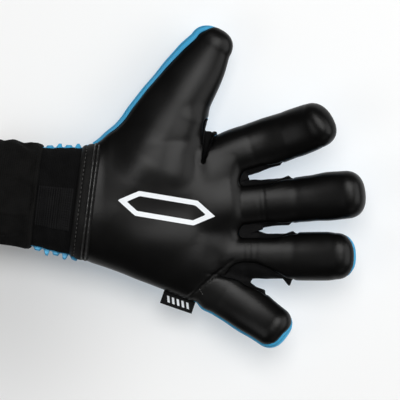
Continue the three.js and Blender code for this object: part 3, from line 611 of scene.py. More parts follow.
def gusset_value(points, near):
    """Positive on the stretch gussets between the digits."""
    x, y, z = points.T
    best = np.full(len(points), -99.0)
    for gusset in GUSSETS:
        place = near[gusset.digit]
        digit = DIGITS[gusset.digit]
        width = digit.half_width(place.station, digit.start)
        best = np.maximum(best, np.minimum.reduce([
            gusset_band(gusset, place),
            gusset.end - place.station,
            place.station + 9,
            gusset.side * place.side - 0.45 * width,
            2.4 - place.value,
        ]))
    for (centre_x, centre_y), radius in CROTCHES:
        inside = radius - np.hypot(x - centre_x, y - centre_y)
        best = np.maximum(best, np.minimum(7.4 - np.abs(z - 0.6), inside))
    lens = np.minimum.reduce([
        np.interp(x, LENS_X, LENS_Y) - y, z + 7.0, 2.4 - near["ring"].value, 154.0 - x,
        0.9 * (near["little"].value + 1.5),
    ])
    best = np.maximum(best, lens)
    slot = np.minimum(np.minimum(1.1 - near["slot"], 9.5 - z), z + 11.5)
    return np.maximum(best, slot)


def gusset_bulge(near):
    """How far the gussets stand proud: they fill the crotch, and end in a small folded tooth."""
    total = np.zeros(len(near["skin"]))
    for gusset in GUSSETS:
        place = near[gusset.digit]
        station, end = place.station, gusset.end
        mine = smoothstep(0, 3, gusset.side * place.side - 4) * smoothstep(1.6, 0.2, place.value)
        mine = mine * smoothstep(-9, -3, station)
        across = smoothstep(0, 3.0, gusset_band(gusset, place))
        rise = gusset.crotch * (1 - smoothstep(5, 17, station)) + gusset.along
        rise = rise + gusset.tooth * smoothstep(end - 11, end - 2.2, station) ** 1.5
        finish = 1 - smoothstep(end - 3.0, end - 0.2, station)
        total = np.maximum(total, rise * mine * across * finish)
    return total


# ------------------------------------------------------------------ Blender meshes
def mesh_object(name, points, faces, normals=None, attributes=None, material=None, flat_from=None):
    """An object from row-frame points and triangles or quads. Faces from flat_from on are flat."""
    mesh = bpy.data.meshes.new(name)
    faces = np.asarray(faces)
    corners = faces.shape[1]
    mesh.vertices.add(len(points))
    mesh.vertices.foreach_set("co", np.asarray(points, np.float32).ravel())
    mesh.loops.add(faces.size)
    mesh.loops.foreach_set("vertex_index", faces.astype(np.int32).ravel())
    mesh.polygons.add(len(faces))
    mesh.polygons.foreach_set("loop_start", (np.arange(len(faces)) * corners).astype(np.int32))
    mesh.polygons.foreach_set("loop_total", np.full(len(faces), corners, np.int32))
    smooth = np.ones(len(faces), bool)
    if flat_from is not None:
        smooth[flat_from:] = False
    mesh.polygons.foreach_set("use_smooth", smooth)
    mesh.update(calc_edges=True)
    mesh.validate(clean_customdata=False)
    for key, values in (attributes or {}).items():
        kind, field = ("FLOAT", "value") if values.ndim == 1 else ("FLOAT_VECTOR", "vector")
        attribute = mesh.attributes.new(key, kind, "POINT")
        attribute.data.foreach_set(field, values.astype(np.float32).ravel())
    if normals is not None:
        mesh.normals_split_custom_set(normals.reshape(-1, 3).tolist())
    obj = bpy.data.objects.new(name, mesh)
    bpy.context.scene.collection.objects.link(obj)
    if material is not None:
        mesh.materials.append(material)
    return obj


def solid_sheet(name, skin, thick, material):
    """A closed piece: the skin, its copy offset inwards along the normals, and a rim round every
    open edge."""
    triangles, normals = skin.triangles, skin.data["normal"]
    count = len(skin.points)
    inner = skin.points - normals * (thick if np.isscalar(thick) else thick[:, None])
    a, b = skin.boundary_edges().T
    rim = np.concatenate([
        np.stack([b, a, a + count], 1), np.stack([b, a + count, b + count], 1),
    ])
    faces = np.concatenate([triangles, triangles[:, ::-1] + count, rim])
    points = to_row(np.concatenate([skin.points, inner]))
    rim_normals = unit(face_normals(points, rim), 1e-15)
    corner_normals = np.concatenate([
        normals[triangles], -normals[triangles[:, ::-1]],
        np.repeat(rim_normals[:, None, :], 3, 1),
    ])
    attributes = {
        key: np.concatenate([values, values])
        for key, values in (
            ("rest", skin.data["rest"] / 1000), ("painted_shade", skin.data["painted_shade"]),
            ("tint", skin.data["tint"]),
        )
    }
    obj = mesh_object(name, points, faces, corner_normals, attributes, material,
                      flat_from=len(triangles) * 2)
    mesh = obj.data
    mesh.materials.append(LINING)
    material_index = np.zeros(len(faces), np.int32)
    material_index[len(triangles): 2 * len(triangles)] = 1
    if len(mesh.polygons) == len(faces):  # validation may have dropped faces
        mesh.polygons.foreach_set("material_index", material_index)
    return obj


# ------------------------------------------------------------------ materials
def tone(colour, gain=1.0, lift=0.0):
    return (*[min(1, channel * gain + lift) for channel in colour], 1.0)


class Shader:
    """A new material with short calls for the nodes used here."""

    def __init__(self, name):
        self.material = bpy.data.materials.new(name)
        self.material.use_nodes = True
        self.tree = self.material.node_tree
        self.inputs = self.tree.nodes["Principled BSDF"].inputs
        self.rest = self.attribute("rest").outputs["Vector"]

    def feed(self, socket, value):
        if hasattr(value, "is_output"):
            self.tree.links.new(value, socket)
        else:
            socket.default_value = value

    def node(self, kind, **inputs):
        node = self.tree.nodes.new(kind)
        for key, value in inputs.items():
            self.feed(node.inputs[key.replace("_", " ")], value)
        return node

    def attribute(self, name):
        node = self.node("ShaderNodeAttribute")
        node.attribute_name = name
        return node

    def math(self, operation, first, second=None, clamp=False):
        node = self.node("ShaderNodeMath")
        node.operation = operation
        node.use_clamp = clamp
        self.feed(node.inputs[0], first)
        if second is not None:
            self.feed(node.inputs[1], second)
        return node.outputs[0]

    def mix(self, factor, first, second):
        node = self.node("ShaderNodeMix")
        node.data_type = "RGBA"
        for socket, value in (("Factor", factor), (6, first), (7, second)):
            self.feed(node.inputs[socket], value)
        return node.outputs[2]

    def along(self, direction):
        node = self.node("ShaderNodeVectorMath")
        node.operation = "DOT_PRODUCT"
        self.feed(node.inputs[0], self.rest)
        self.feed(node.inputs[1], direction)
        return node.outputs["Value"]

    def noise(self, scale, detail=2.0, roughness=0.5):
        return self.node("ShaderNodeTexNoise", Scale=scale, Detail=detail, Roughness=roughness,
                         Vector=self.rest).outputs["Fac"]

    def ramp(self, value, low, high, to_low=0.0, to_high=1.0):
        return self.node("ShaderNodeMapRange", From_Min=low, From_Max=high, To_Min=to_low,
                         To_Max=to_high, Value=value).outputs["Result"]

    def bump(self, height, strength, distance, normal=None):
        node = self.node("ShaderNodeBump", Strength=strength, Distance=distance, Height=height)
        if normal is not None:
            self.feed(node.inputs["Normal"], normal)
        return node.outputs["Normal"]


def latex_material(name, colour, worn, roughness, grain, pores, specular):
    """Foam or moulded latex, with painted shade in its creases and paler where tinted."""
    shader = Shader(name)
    painted_shade_amount = shader.attribute("painted_shade").outputs["Fac"]
    tint = shader.attribute("tint").outputs["Fac"]
    broad = shader.noise(scale=38, detail=3)
    fine = shader.noise(scale=900, detail=3, roughness=0.6)
    mixed = shader.mix(shader.ramp(broad, low=0.35, high=0.7), tone(colour), tone(worn))
    mixed = shader.mix(shader.math("MULTIPLY", tint, 0.8), mixed, tone(colour, 2.2, 0.008))
    # painted shade: the shade mask darkens the colour in creases, grooves and along edges
    mixed = shader.mix(painted_shade_amount, mixed, tone(colour, 0.25))
    shader.feed(shader.inputs["Base Color"], mixed)
    uneven = shader.math(
        "ADD", shader.math("MULTIPLY", broad, 0.7), shader.math("MULTIPLY", fine, 0.3)
    )
    rough = shader.ramp(uneven, low=0.3, high=0.7, to_low=roughness[0], to_high=roughness[1])
    rough = shader.math("ADD", rough, shader.math("MULTIPLY", painted_shade_amount, 0.25), clamp=True)
    shader.feed(shader.inputs["Roughness"], rough)
    shader.inputs["Specular IOR Level"].default_value = specular
    normal = shader.bump(fine, strength=grain, distance=0.00012)
    lumps = shader.noise(scale=230, detail=3, roughness=0.55)
    normal = shader.bump(lumps, strength=0.10, distance=0.0003, normal=normal)
    if pores:
        cells = shader.node("ShaderNodeTexVoronoi", Scale=1500, Vector=shader.rest)
        pits = shader.ramp(cells.outputs["Distance"], low=0.0, high=0.35)
        normal = shader.bump(pits, strength=0.07, distance=0.00010, normal=normal)
    shader.feed(shader.inputs["Normal"], normal)
    return shader.material


def knit_material(name, colour, pitch=0.0011, direction=(1, 0, 0), rib=0.8, cross=0.0009,
                  roughness=0.92):
    """Fine ribs, pitch metres apart along a direction, crossed by stitches cross metres apart."""
    shader = Shader(name)
    painted_shade_amount = shader.attribute("painted_shade").outputs["Fac"]
    wobble = shader.math("MULTIPLY", shader.noise(scale=260), 0.9)
    phase = shader.math("MULTIPLY", shader.along(direction), 2 * math.pi / pitch)
    ribs = shader.math("SINE", shader.math("ADD", phase, wobble))
    sideways = shader.along((-direction[1], direction[0], 0))
    stitches = shader.math("SINE", shader.math("MULTIPLY", sideways, 2 * math.pi / cross))
    weave = shader.math(
        "ADD", shader.math("MULTIPLY", ribs, 0.5 * rib), shader.math("MULTIPLY", stitches, 0.25)
    )
    fuzz = shader.noise(scale=2600, roughness=0.7)
    mottle = shader.noise(scale=75, detail=4, roughness=0.6)
    yarn = shader.mix(
        shader.ramp(weave, low=-0.6, high=0.6), tone(colour, 0.45), tone(colour, 1.5)
    )
    faded = shader.ramp(mottle, low=0.3, high=0.75, to_low=0.0, to_high=0.55)
    yarn = shader.mix(faded, yarn, tone(colour, 1.9, 0.002))
    # painted shade: the shade mask darkens the yarn's colour in grooves and along edges
    shader.feed(shader.inputs["Base Color"], shader.mix(painted_shade_amount, yarn, tone(colour, 0.3)))
    shader.inputs["Roughness"].default_value = roughness
    shader.inputs["Specular IOR Level"].default_value = 0.07
    normal = shader.bump(weave, strength=0.5, distance=0.00022)
    normal = shader.bump(fuzz, strength=0.35, distance=0.00015, normal=normal)
    shader.feed(shader.inputs["Normal"], normal)
    return shader.material


def plain_material(name, colour, roughness=0.5, scale=1200, strength=0.2, specular=0.5, sheen=0.0,
                   variation=0.12):
    """One colour with slight variation and a fine grain."""
    shader = Shader(name)
    fine = shader.noise(scale=scale, detail=3, roughness=0.6)
    broad = shader.noise(scale=60, detail=3)
    mixed = shader.mix(
        shader.ramp(broad, low=0.3, high=0.7),
        tone(colour, 1 - variation), tone(colour, 1 + variation),
    )
    shader.feed(shader.inputs["Base Color"], mixed)
    rough = shader.ramp(fine, low=0.3, high=0.7, to_low=roughness - 0.06, to_high=roughness + 0.08)
    shader.feed(shader.inputs["Roughness"], rough)
    shader.inputs["Specular IOR Level"].default_value = specular
    shader.inputs["Sheen Weight"].default_value = sheen
    shader.feed(shader.inputs["Normal"], shader.bump(fine, strength, distance=0.00012))
    return shader.material


ALONG_ARM = (math.cos(LEAN), -math.sin(LEAN), 0)
ACROSS_ARM = tuple(ARM_SIDE)
FOAM = latex_material(
    "palm_latex_foam", colour=(0.0011, 0.00105, 0.0010), worn=(0.0019, 0.0018, 0.0017),
    roughness=(0.31, 0.37), grain=0.10, pores=True, specular=0.17,
)
BACK_LATEX = latex_material(
    "back_latex_blue", colour=(0.030, 0.345, 0.640), worn=(0.036, 0.40, 0.70),
    roughness=(0.42, 0.56), grain=0.3, pores=False, specular=0.5,
)
MESH = knit_material(
    "gusset_mesh", colour=(0.0026, 0.0026, 0.0028), pitch=0.0008, rib=0.6, cross=0.0008,
    roughness=0.7,
)
KNIT = knit_material(
    "wrist_knit", colour=(0.0022, 0.0022, 0.0023), pitch=0.0013, direction=ALONG_ARM
)
PATCH = knit_material(
    "ribbed_elastic", colour=(0.0046, 0.0046, 0.0048), pitch=0.0017, direction=ALONG_ARM,
    rib=1.3, cross=0.0016,
)
STRAP = knit_material(
    "strap_knit", colour=(0.0038, 0.0037, 0.0036), pitch=0.0016, direction=ALONG_ARM,
    rib=0.7, cross=0.0012,
)
TAPE = knit_material(
    "binding_tape", colour=(0.0034, 0.0033, 0.0033), pitch=0.0007, direction=ACROSS_ARM,
    rib=0.6, cross=0.0007, roughness=0.75,
)
# partly painted sheen: the binding's colour is the tape's made lighter so it looks lit; its lower
# roughness is its own
BINDING_PAINTED_SHEEN = knit_material(
    "binding_satin_painted_sheen", colour=(0.0052, 0.0051, 0.0050), pitch=0.0007, direction=ACROSS_ARM,
    rib=0.5, cross=0.0007, roughness=0.46,
)
# painted highlight: the folds' colour is a lighter copy of the binding's, so their ridges look lit
FOLD_PAINTED_HIGHLIGHT = plain_material(
    "fold_painted_highlight", colour=(0.0085, 0.0083, 0.0080), roughness=0.34, scale=1800, strength=0.12
)
LINING = knit_material("lining", colour=(0.030, 0.033, 0.038), rib=0.5)
PRINT = plain_material(
    "palm_print_white", colour=(0.80, 0.83, 0.86), strength=0.12, variation=0.03
)
LABEL = knit_material(
    "woven_label", colour=(0.004, 0.004, 0.0042), pitch=0.0006, rib=0.5, cross=0.0006,
    roughness=0.6,
)
LABEL_MARK = plain_material(
    "label_marks", colour=(0.62, 0.65, 0.68), roughness=0.7, variation=0.08
)
THREAD = plain_material(
    "thread_grey", colour=(0.060, 0.058, 0.056), roughness=0.45, variation=0.2
)
# on no piece
plain_material("thread_blue", colour=(0.02, 0.22, 0.42), roughness=0.45, variation=0.2)
BADGE = plain_material(
    "badge_rubber", colour=(0.016, 0.016, 0.017), roughness=0.4, strength=0.15
)
PILE = plain_material(
    "loop_pile", colour=(0.012, 0.012, 0.013), roughness=0.95, scale=3000, strength=0.8,
    specular=0.2, sheen=0.3,
)


# ------------------------------------------------------------------ skin and panels
WRIST_CUT = 1.0  # the palm stops at this station along the arm, under its binding

skin = make_skin()
skin = skin.clip(WRIST_CUT - (skin.points - WRIST_CENTRE) @ ARM).without_scraps()
skin_near = fields(skin.points)
skin.data["seam"] = height_above_seam(skin.points, skin_near)
skin.data["gusset"] = gusset_value(skin.points, skin_near)


def cut_panel(level):
    return skin.clip(level).without_scraps(40)


def finish_panel(panel, move, painted_shade_amount, tint=0.0):
    """Moves the panel along the skin's normals, then works out its own shading normals."""
    panel.points = panel.data["rest"] + panel.data["skin_normal"] * move[:, None]
    panel.data["normal"] = panel.normals()
    # painted shade in the panel's creases and along its edges
    panel.data["painted_shade"] = np.clip(painted_shade_amount, 0, 1)
    panel.data["tint"] = np.clip(tint + np.zeros(len(panel.points)), 0, 1)


# creases across the fingers: digit, station, width, depth
FOAM_CREASES = (
    ("index", 3, 3.0, 0.16), ("middle", 9.5, 1.5, 0.26), ("middle", 13.2, 1.3, 0.34),
    ("ring", -3, 1.6, 0.22), ("ring", 1.5, 1.4, 0.32), ("ring", 6.5, 1.8, 0.24),
    ("little", 10, 2.2, 0.14), ("index", 34, 4.0, 0.22), ("middle", 39, 4.0, 0.22),
    ("ring", 36, 4.0, 0.22),
)
# sewn line between the palm and the little finger's own panel
SEWN_FROM, SEWN_TO = np.array([76.5, -78.0]), np.array([110.5, -49.2])


def make_foam():
    foam = cut_panel(np.minimum(skin.data["seam"], -skin.data["gusset"]))
    points = foam.data["rest"]
    near = fields(points)
    edge = np.minimum(foam.data["seam"], -foam.data["gusset"])
    move = rolled_edge(edge, 3.0, 1.9)
    move += 0.20 * wavy(points, 44, 1) + 0.02 * wavy(points, 14, 2)
    for name, station, width, depth in FOAM_CREASES:
        on_digit = smoothstep(3, 0, near[name].value)
        move -= depth * bell(near[name].station - station, width) * on_digit
    # crease across the thumb's root
    x, y, z = points.T
    root = smoothstep(40, 62, x) * (1 - smoothstep(74, 88, x)) * (z > 0)
    move -= 0.32 * bell(y - 41.8 - 0.05 * (x - 66), 3.6) * root
    sewn_length = np.linalg.norm(SEWN_TO - SEWN_FROM)
    line = (SEWN_TO - SEWN_FROM) / sewn_length
    offset = points[:, :2] - SEWN_FROM
    across = offset[:, 0] * line[1] - offset[:, 1] * line[0]
    along = offset @ line
    on_line = smoothstep(-3, 2, along) * smoothstep(-2, 3, z)
    on_line *= 1 - smoothstep(sewn_length - 3, sewn_length + 3, along)
    move -= 1.0 * bell(across, 1.1) * on_line
    # painted shade along the foam's edges and in the sewn groove
    painted_shade_amount = 0.75 * bell(edge, 0.9) + 0.8 * bell(across, 0.7) * on_line
    # the little finger's panel is a little paler
    little = near["little"]
    tint = 0.55 * smoothstep(0.2, 2.0, across) * smoothstep(-2, 3, along) * smoothstep(-1, 3, z)
    tint *= smoothstep(6, 0, little.value) * (1 - smoothstep(8, 30, little.station))
    finish_panel(foam, move, painted_shade_amount, tint)
    foam.data["thick"] = 4.2 - 2.9 * smoothstep(9.5, 5.0, near["slot"])
    return foam


def make_gusset():
    """Slack mesh, a little below the foam except in the slot and the webs."""
    gusset = cut_panel(skin.data["gusset"])
    points = gusset.data["rest"]
    near = fields(points)
    inset = gusset.data["gusset"]
    in_slot = smoothstep(2.4, 1.2, near["slot"])
    gap = np.minimum.reduce([web_value(points, gap) for gap in GAPS])
    in_web = smoothstep(1.6, 0.2, gap)
    taut = np.maximum(in_slot, in_web)
    move = (-0.9 - 0.5 * smoothstep(0, 2.5, inset)) * (1 - 0.85 * taut)
    move += gusset_bulge(near) * (1 - in_slot) * (1 - in_web)
    phase = points[:, 2] * 1.1 + 0.25 * points[:, 0] + 0.8 * wavy(points, 30, 4)
    folds = np.sin(0.9 * phase) * smoothstep(1.0, 3.5, inset)
    move += (0.28 * folds + 0.16 * wavy(points, 7, 5)) * (1 - 0.8 * taut)
    # painted shade along the gusset's edges
    finish_panel(gusset, move, 0.35 * bell(inset, 1.0))
    return gusset


def digit_relief(name, place):
    """Flex channels over a digit's joints and a raised pad between each pair, with painted shade in
    the channels and round the pads.
    """
    digit = DIGITS[name]
    station, side, height, value = place
    mine = smoothstep(2.5, 0, value) * smoothstep(-2, -5.5, height)
    bow = 0.012 * side * side * (0.6 if name != "thumb" else 0.4)
    move, painted_shade_amount = np.zeros(len(station)), np.zeros(len(station))
    for joint in digit.joints:
        for offset, depth in ((-3.2, 0.7), (0, 1.0), (3.2, 0.7)):
            channel = bell(station - joint - offset - bow, 0.95) * mine
            move -= depth * channel
            painted_shade_amount += 0.35 * channel
    width = digit.half_width(station, 0)
    on_back = smoothstep(-5, -8, height)
    ends = [*digit.joints, digit.length - 7]
    for first, last in zip(ends[:-1], ends[1:]):
        inset = np.minimum(station - first - 5.6, last - 5.6 - station)
        inset = np.minimum(inset, 0.62 * width - np.abs(side))
        move += 1.0 * smoothstep(0, 1.4, inset) * on_back
        painted_shade_amount += 0.4 * bell(inset, 0.7) * on_back * (station > first) * (station < last)
    return move, painted_shade_amount


KNUCKLE_PAD_HALF, KNUCKLE_PAD_CORNER = (19, 37), 8  # half sizes along and across; corner radius


def hand_relief(points, near):
    """The grooved pad over the knuckles and the chevron ribs down the back of the hand, with painted
    shade round the pad, in its grooves and beside the ribs.
    """
    x, y, z = points.T
    on_digits = sum(
        smoothstep(-6, 4, near[name].station) * smoothstep(4, 0, near[name].value)
        for name in THUMB_AND_FINGERS
    )
    down = smoothstep(-6, -10, z) * (1 - np.clip(on_digits, 0, 1))
    across = y + 10 + 0.12 * (x - 78)
    x_inset = KNUCKLE_PAD_HALF[0] - np.abs((x - 78) + 0.16 * (y + 12))
    y_inset = KNUCKLE_PAD_HALF[1] - np.abs(across)
    corner = KNUCKLE_PAD_CORNER
    rounded = corner - np.hypot(np.maximum(corner - x_inset, 0), np.maximum(corner - y_inset, 0))
    in_corner = (x_inset < corner) & (y_inset < corner)
    inset = np.where(in_corner, rounded, np.minimum(x_inset, y_inset) * 0.9)
    move = 1.9 * smoothstep(0, 2.6, inset) * down
    painted_shade_amount = 0.5 * bell(inset, 0.9) * down
    for k in range(-3, 4):
        groove = bell(across - k * 10.0, 1.1) * smoothstep(2.5, 5, inset) * down
        move -= 1.1 * groove
        painted_shade_amount += 0.45 * groove
    span = smoothstep(31, 26, np.abs(y + 6)) * down * (x < 60)
    for k in range(5):
        chevron = (x - (47 - k * 9.5)) - 0.35 * np.abs(y + 6)
        move += 0.9 * bell(chevron, 1.3) * span
        painted_shade_amount += 0.3 * bell(np.abs(chevron) - 2.2, 0.8) * span
    return move, painted_shade_amount


def make_back():
    back = cut_panel(np.minimum(-skin.data["seam"], -skin.data["gusset"]))
    points = back.data["rest"]
    near = fields(points)
    below_seam = -back.data["seam"]
    edge = np.minimum(below_seam, -back.data["gusset"])
    move = rolled_edge(edge, 1.6, 1.1)
    # painted shade along the back's edges
    painted_shade_amount = 0.5 * bell(edge, 0.7)
    # groove that follows the seam, with painted shade in it
    move -= 0.765 * bell(below_seam - 2.7, 0.75)
    painted_shade_amount += 0.55 * bell(below_seam - 2.7, 0.8)
    reliefs = [digit_relief(name, near[name]) for name in THUMB_AND_FINGERS]
    # the reliefs' painted shade is added to the panel's
    for extra, painted_dark in (*reliefs, hand_relief(points, near)):
        move += extra
        painted_shade_amount += painted_dark
    move += 0.15 * wavy(points, 22, 9)
    finish_panel(back, move, painted_shade_amount)
    return back


foam = make_foam()
gusset = make_gusset()
back = make_back()

# printed frame on the palm: a plain six-sided outline
PRINT_CENTRE, PRINT_TURN = np.array([60.5, -8.6]), math.radians(-9.5)
PRINT_HALF_LENGTH, PRINT_HALF_HEIGHT = 37.8, 9.6
PRINT_HALF_LINE = 1.9


def print_inset(points):
    """Distance inside the printed line's two edges."""
    cos, sin = math.cos(PRINT_TURN), math.sin(PRINT_TURN)
    offset = points[:, :2] - PRINT_CENTRE
    along = np.abs(offset[:, 0] * cos + offset[:, 1] * sin)
    across = np.abs(-offset[:, 0] * sin + offset[:, 1] * cos)
    steepness = PRINT_HALF_HEIGHT / (PRINT_HALF_LENGTH * 0.4)
    slant = along - PRINT_HALF_LENGTH + across / steepness
    slant = slant / math.sqrt(1 + 1 / steepness**2)
    outline = np.maximum(slant, across - PRINT_HALF_HEIGHT)
    return PRINT_HALF_LINE - np.abs(outline + PRINT_HALF_LINE)


def make_print():
    ink = foam.clip(print_inset(foam.data["rest"]))
    ink = ink.clip(np.where(ink.data["rest"][:, 2] > 4, 1.0, -1.0)).without_scraps(20)
    raised = 0.06 + 0.2 * smoothstep(0, 0.5, print_inset(ink.data["rest"]))
    ink.points = ink.points + ink.data["normal"] * raised[:, None]
    return ink


print_skin = make_print()


# ------------------------------------------------------------------ bodies of the hand
def cuts_of(name):
    """Stations where a digit's bodies begin, and a half length round each joint."""
    joints = DIGITS[name].joints
    middles = [(a + b) / 2 for a, b in zip(joints, joints[1:])]
    if name == "thumb":
        halves = [14.0, 14.0]
    else:
        first, second = [(b - a) / 2 for a, b in zip(joints, joints[1:])]
        halves = [min(9.8, first - 1.0), min(first, second) - 1.0, second - 1.0]
    return [joints[0] - halves[0] - 0.6] + middles, halves


def bodies_of(name):
    parts = ("base", "tip") if name == "thumb" else ("base", "mid", "tip")
    return ["palm"] + [f"{name}_{part}" for part in parts]


def digit_level(name, near):
    """Positive where the skin belongs to this digit rather than to a neighbour or the palm."""
    others = [near[other].value for other in THUMB_AND_FINGERS if other != name]
    nearest = np.minimum.reduce(others) - near[name].value
    level = np.minimum(
        near[name].station - cuts_of(name)[0][0], nearest + (2.0 if name == "thumb" else 0.0)
    )
    if name == "thumb":
        level = np.minimum(level, near["index"].value - 3.0)
    return level


def make_pieces(panel, label, thick, material):
    """Cuts a finished panel between the bodies and makes one piece for each."""

    def solid(part, suffix):
        part_thick = part.data["thick"] if thick is None else thick
        return solid_sheet(f"{label}_{suffix}", part, part_thick, material)

    pieces = {}
    for name in THUMB_AND_FINGERS:
        digit = DIGITS[name]
        cuts, halves = cuts_of(name)
        level = digit_level(name, fields(panel.data["rest"]))
        whole = panel.clip(level)
        panel = panel.clip(-level)
        if not len(whole.triangles):
            continue
        chain = bodies_of(name)
        for k, cut in enumerate(cuts):
            part = whole
            if k > 0:
                part = part.clip(digit.locate(part.data["rest"])[0] - cut)
            if k + 1 < len(cuts):
                part = part.clip(cuts[k + 1] - digit.locate(part.data["rest"])[0])
            if len(part.triangles) < 8:
                continue
            obj = solid(part, chain[k + 1])
            joint = digit.joints[k]
            to_row(digit.axis_at(joint - halves[k]))
            to_row(digit.axis_at(joint + halves[k]))
            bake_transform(obj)
            pieces[chain[k + 1]] = obj
    pieces["palm"] = solid(panel, "hand")
    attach(pieces["palm"], "palm")
    return pieces


foam_pieces = make_pieces(foam, "foam", None, FOAM)
back_pieces = make_pieces(back, "back", 3.0, BACK_LATEX)
gusset_pieces = make_pieces(gusset, "gusset", 1.2, MESH)
print_object = solid_sheet("print_frame", print_skin, 0.3, PRINT)
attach(print_object, "palm")
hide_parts("palm_print")
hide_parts("palm_foam", "palm_lining")
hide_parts("back_shell", "back_lining", "knuckle_pad")
for name in THUMB_AND_FINGERS:
    for body in bodies_of(name)[1:]:
        part = body.split("_")[1]
        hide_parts(f"{name}_palm_{part}")
        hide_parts(f"{name}_back_{part}")
GUSSET_REPLACES = {
    "palm": ("thumb_index_web", "index_middle_web", "middle_ring_web", "ring_little_web"),
    "index_base": ("index_gusset_middle_side",),
    "middle_base": ("middle_gusset_index_side", "middle_gusset_ring_side"),
    "ring_base": ("ring_gusset_middle_side", "ring_gusset_little_side"),
    "little_base": ("little_gusset_ring_side",),
}
for body, replaced in GUSSET_REPLACES.items():
    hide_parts(*replaced)

# ------------------------------------------------------------------ sheets round the wrist
# (station along the arm, value): half width, half thickness and rise of the section
TUBE_WIDTH = curve_table([
    (-6, 45), (0, 44.2), (8, 42), (20, 40.8), (36, 38.6), (60, 37.4), (90, 38),
])
TUBE_THICK = curve_table([(-6, 24.0), (0, 23.8), (20, 22.8), (38, 21.4), (90, 21.4)])
TUBE_RISE = curve_table([(-6, 0), (0, 0), (20, 1.79), (38, 3.2), (60, 3.4), (90, 3.4)])


def tube_point(station, angle, out):
    """Points out from the wrist's skin, at a station along the arm and an angle in radians:
    0 is the thumb's side, 90 degrees the palm side."""
    station, angle, out = np.broadcast_arrays(
        np.asarray(station, float), np.asarray(angle, float), np.asarray(out, float)
    )
    power = 2 / SECTION_POWER
    width = np.interp(station, *TUBE_WIDTH) + out
    thick = np.interp(station, *TUBE_THICK) + out
    cos, sin = np.cos(angle), np.sin(angle)
    sideways = width * np.sign(cos) * np.abs(cos) ** power
    point = WRIST_CENTRE + station[..., None] * ARM + sideways[..., None] * ARM_SIDE
    point[..., 2] += np.interp(station, *TUBE_RISE) + thick * np.sign(sin) * np.abs(sin) ** power
    return point


class Place(namedtuple("Place", "station arc angle length")):
    """A sheet's grid: station, arc from its first angle, angle, and the whole arc's length."""

    @property
    def across(self):
        """Fraction of the way from the first station to the last."""
        low, high = self.station.min(), self.station.max()
        return (self.station - low) / (high - low)

    @property
    def side(self):
        """Distance from the nearer of the first and last stations."""
        return np.minimum(self.station - self.station.min(), self.station.max() - self.station)

    @property
    def end(self):
        """Distance from the nearer end of the arc."""
        return np.minimum(self.arc, self.length - self.arc)


def sheet_place(stations, angles, step, closed):
    """Grid over two stations and two angles in degrees, evenly spaced along the section."""
    trial = np.radians(np.linspace(*angles, 1500))
    section = tube_point(sum(stations) / 2, trial, 0)
    chords = np.linalg.norm(np.diff(section, axis=0), axis=1)
    run = np.concatenate([[0], np.cumsum(chords)])
    length = run[-1]
    columns = max(6, int(length / step))
    rows = max(4, int(abs(stations[1] - stations[0]) / step))
    angle = np.interp(np.linspace(0, length, columns), run, trial)
    if closed:
        angle = angle[:-1]
    station, angle = np.meshgrid(np.linspace(*stations, rows), angle, indexing="ij")
    arc = np.broadcast_to(np.linspace(0, length, angle.shape[1]), angle.shape)
    return Place(station, arc, angle, length)


def grid_quads(rows, columns, closed):
    """Point numbers of a grid, its first column repeated if closed, and its quads."""
    index = np.arange(rows * columns).reshape(rows, columns)
    if closed:
        index = np.concatenate([index, index[:, :1]], 1)
    corners = [index[:-1, :-1], index[:-1, 1:], index[1:, 1:], index[1:, :-1]]
    return index, np.stack(corners, -1).reshape(-1, 4)


def mark_sharp(obj, angle=50):
    """Edges sharper than the angle stay crisp."""
    obj.data.update()
    bm = bmesh.new()
    bm.from_mesh(obj.data)
    for edge in bm.edges:
        if len(edge.link_faces) == 2 and edge.calc_face_angle(0) > math.radians(angle):
            edge.smooth = False
    bm.to_mesh(obj.data)
    bm.free()


def grid_solid(name, outer, inner, material, closed=False, painted_shade_amount=None):
    """A closed piece between two grids of points."""
    rows, columns = outer.shape[:2]
    count = rows * columns
    points = np.concatenate([outer.reshape(-1, 3), inner.reshape(-1, 3)])
    index, quads = grid_quads(rows, columns, closed)
    faces = [quads, quads[:, [0, 3, 2, 1]] + count]
    borders = [(index[0], True), (index[-1], False)]
    if not closed:
        borders += [(index[:, 0], False), (index[:, -1], True)]
    for border, flip in borders:
        a, b = border[:-1], border[1:]
        rim = np.stack([a, b, b + count, a + count], 1)
        faces.append(rim[:, ::-1] if flip else rim)
    faces = np.concatenate(faces)
    outwards = points[quads[:, 0]] - points[quads[:, 0] + count]
    if (face_normals(points, quads) * outwards).sum() < 0:
        faces = faces[:, ::-1]
    # painted shade, when given, darkens the piece's colour
    painted_dark = np.zeros(count) if painted_shade_amount is None else painted_shade_amount.ravel()
    attributes = {
        "rest": points / 1000, "tint": np.zeros(2 * count),
        "painted_shade": np.clip(np.concatenate([painted_dark, painted_dark]), 0, 1),
    }
    obj = mesh_object(name, to_row(points), faces, attributes=attributes, material=material)
    mark_sharp(obj)
    return obj


def tube_sheet(name, stations, angles, out, thick, material, relief, step, painted_shade_amount=None,
               closed=False):
    """A closed piece of the wrist. relief(place) gives extra height, cavity(place) the painted shade
    in its grooves and along its edges.
    """
    place = sheet_place(stations, angles, step, closed)
    outer = tube_point(place.station, place.angle, out + relief(place))
    inner = tube_point(place.station, place.angle, out - thick)
    painted_dark = None if painted_shade_amount is None else painted_shade_amount(place)
    return grid_solid(name, outer, inner, material, closed, painted_dark)


def blend_wrist(obj):
    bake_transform(obj)


# black knit on the palm side
def knit_relief(at):
    folds = 0.45 * np.sin((at.station - 3) * 0.62 + 0.5 * np.sin(at.arc * 0.06))
    folds = folds * smoothstep(8, 12, at.station) * (1 - smoothstep(30, 36, at.station))
    sag = -0.7 * bell(at.station - WRIST_STATION, 9) * np.sin(np.pi * at.arc / at.length)
    return folds * 0.5 + sag + rolled_edge(at.end, 1.6, 1.0)


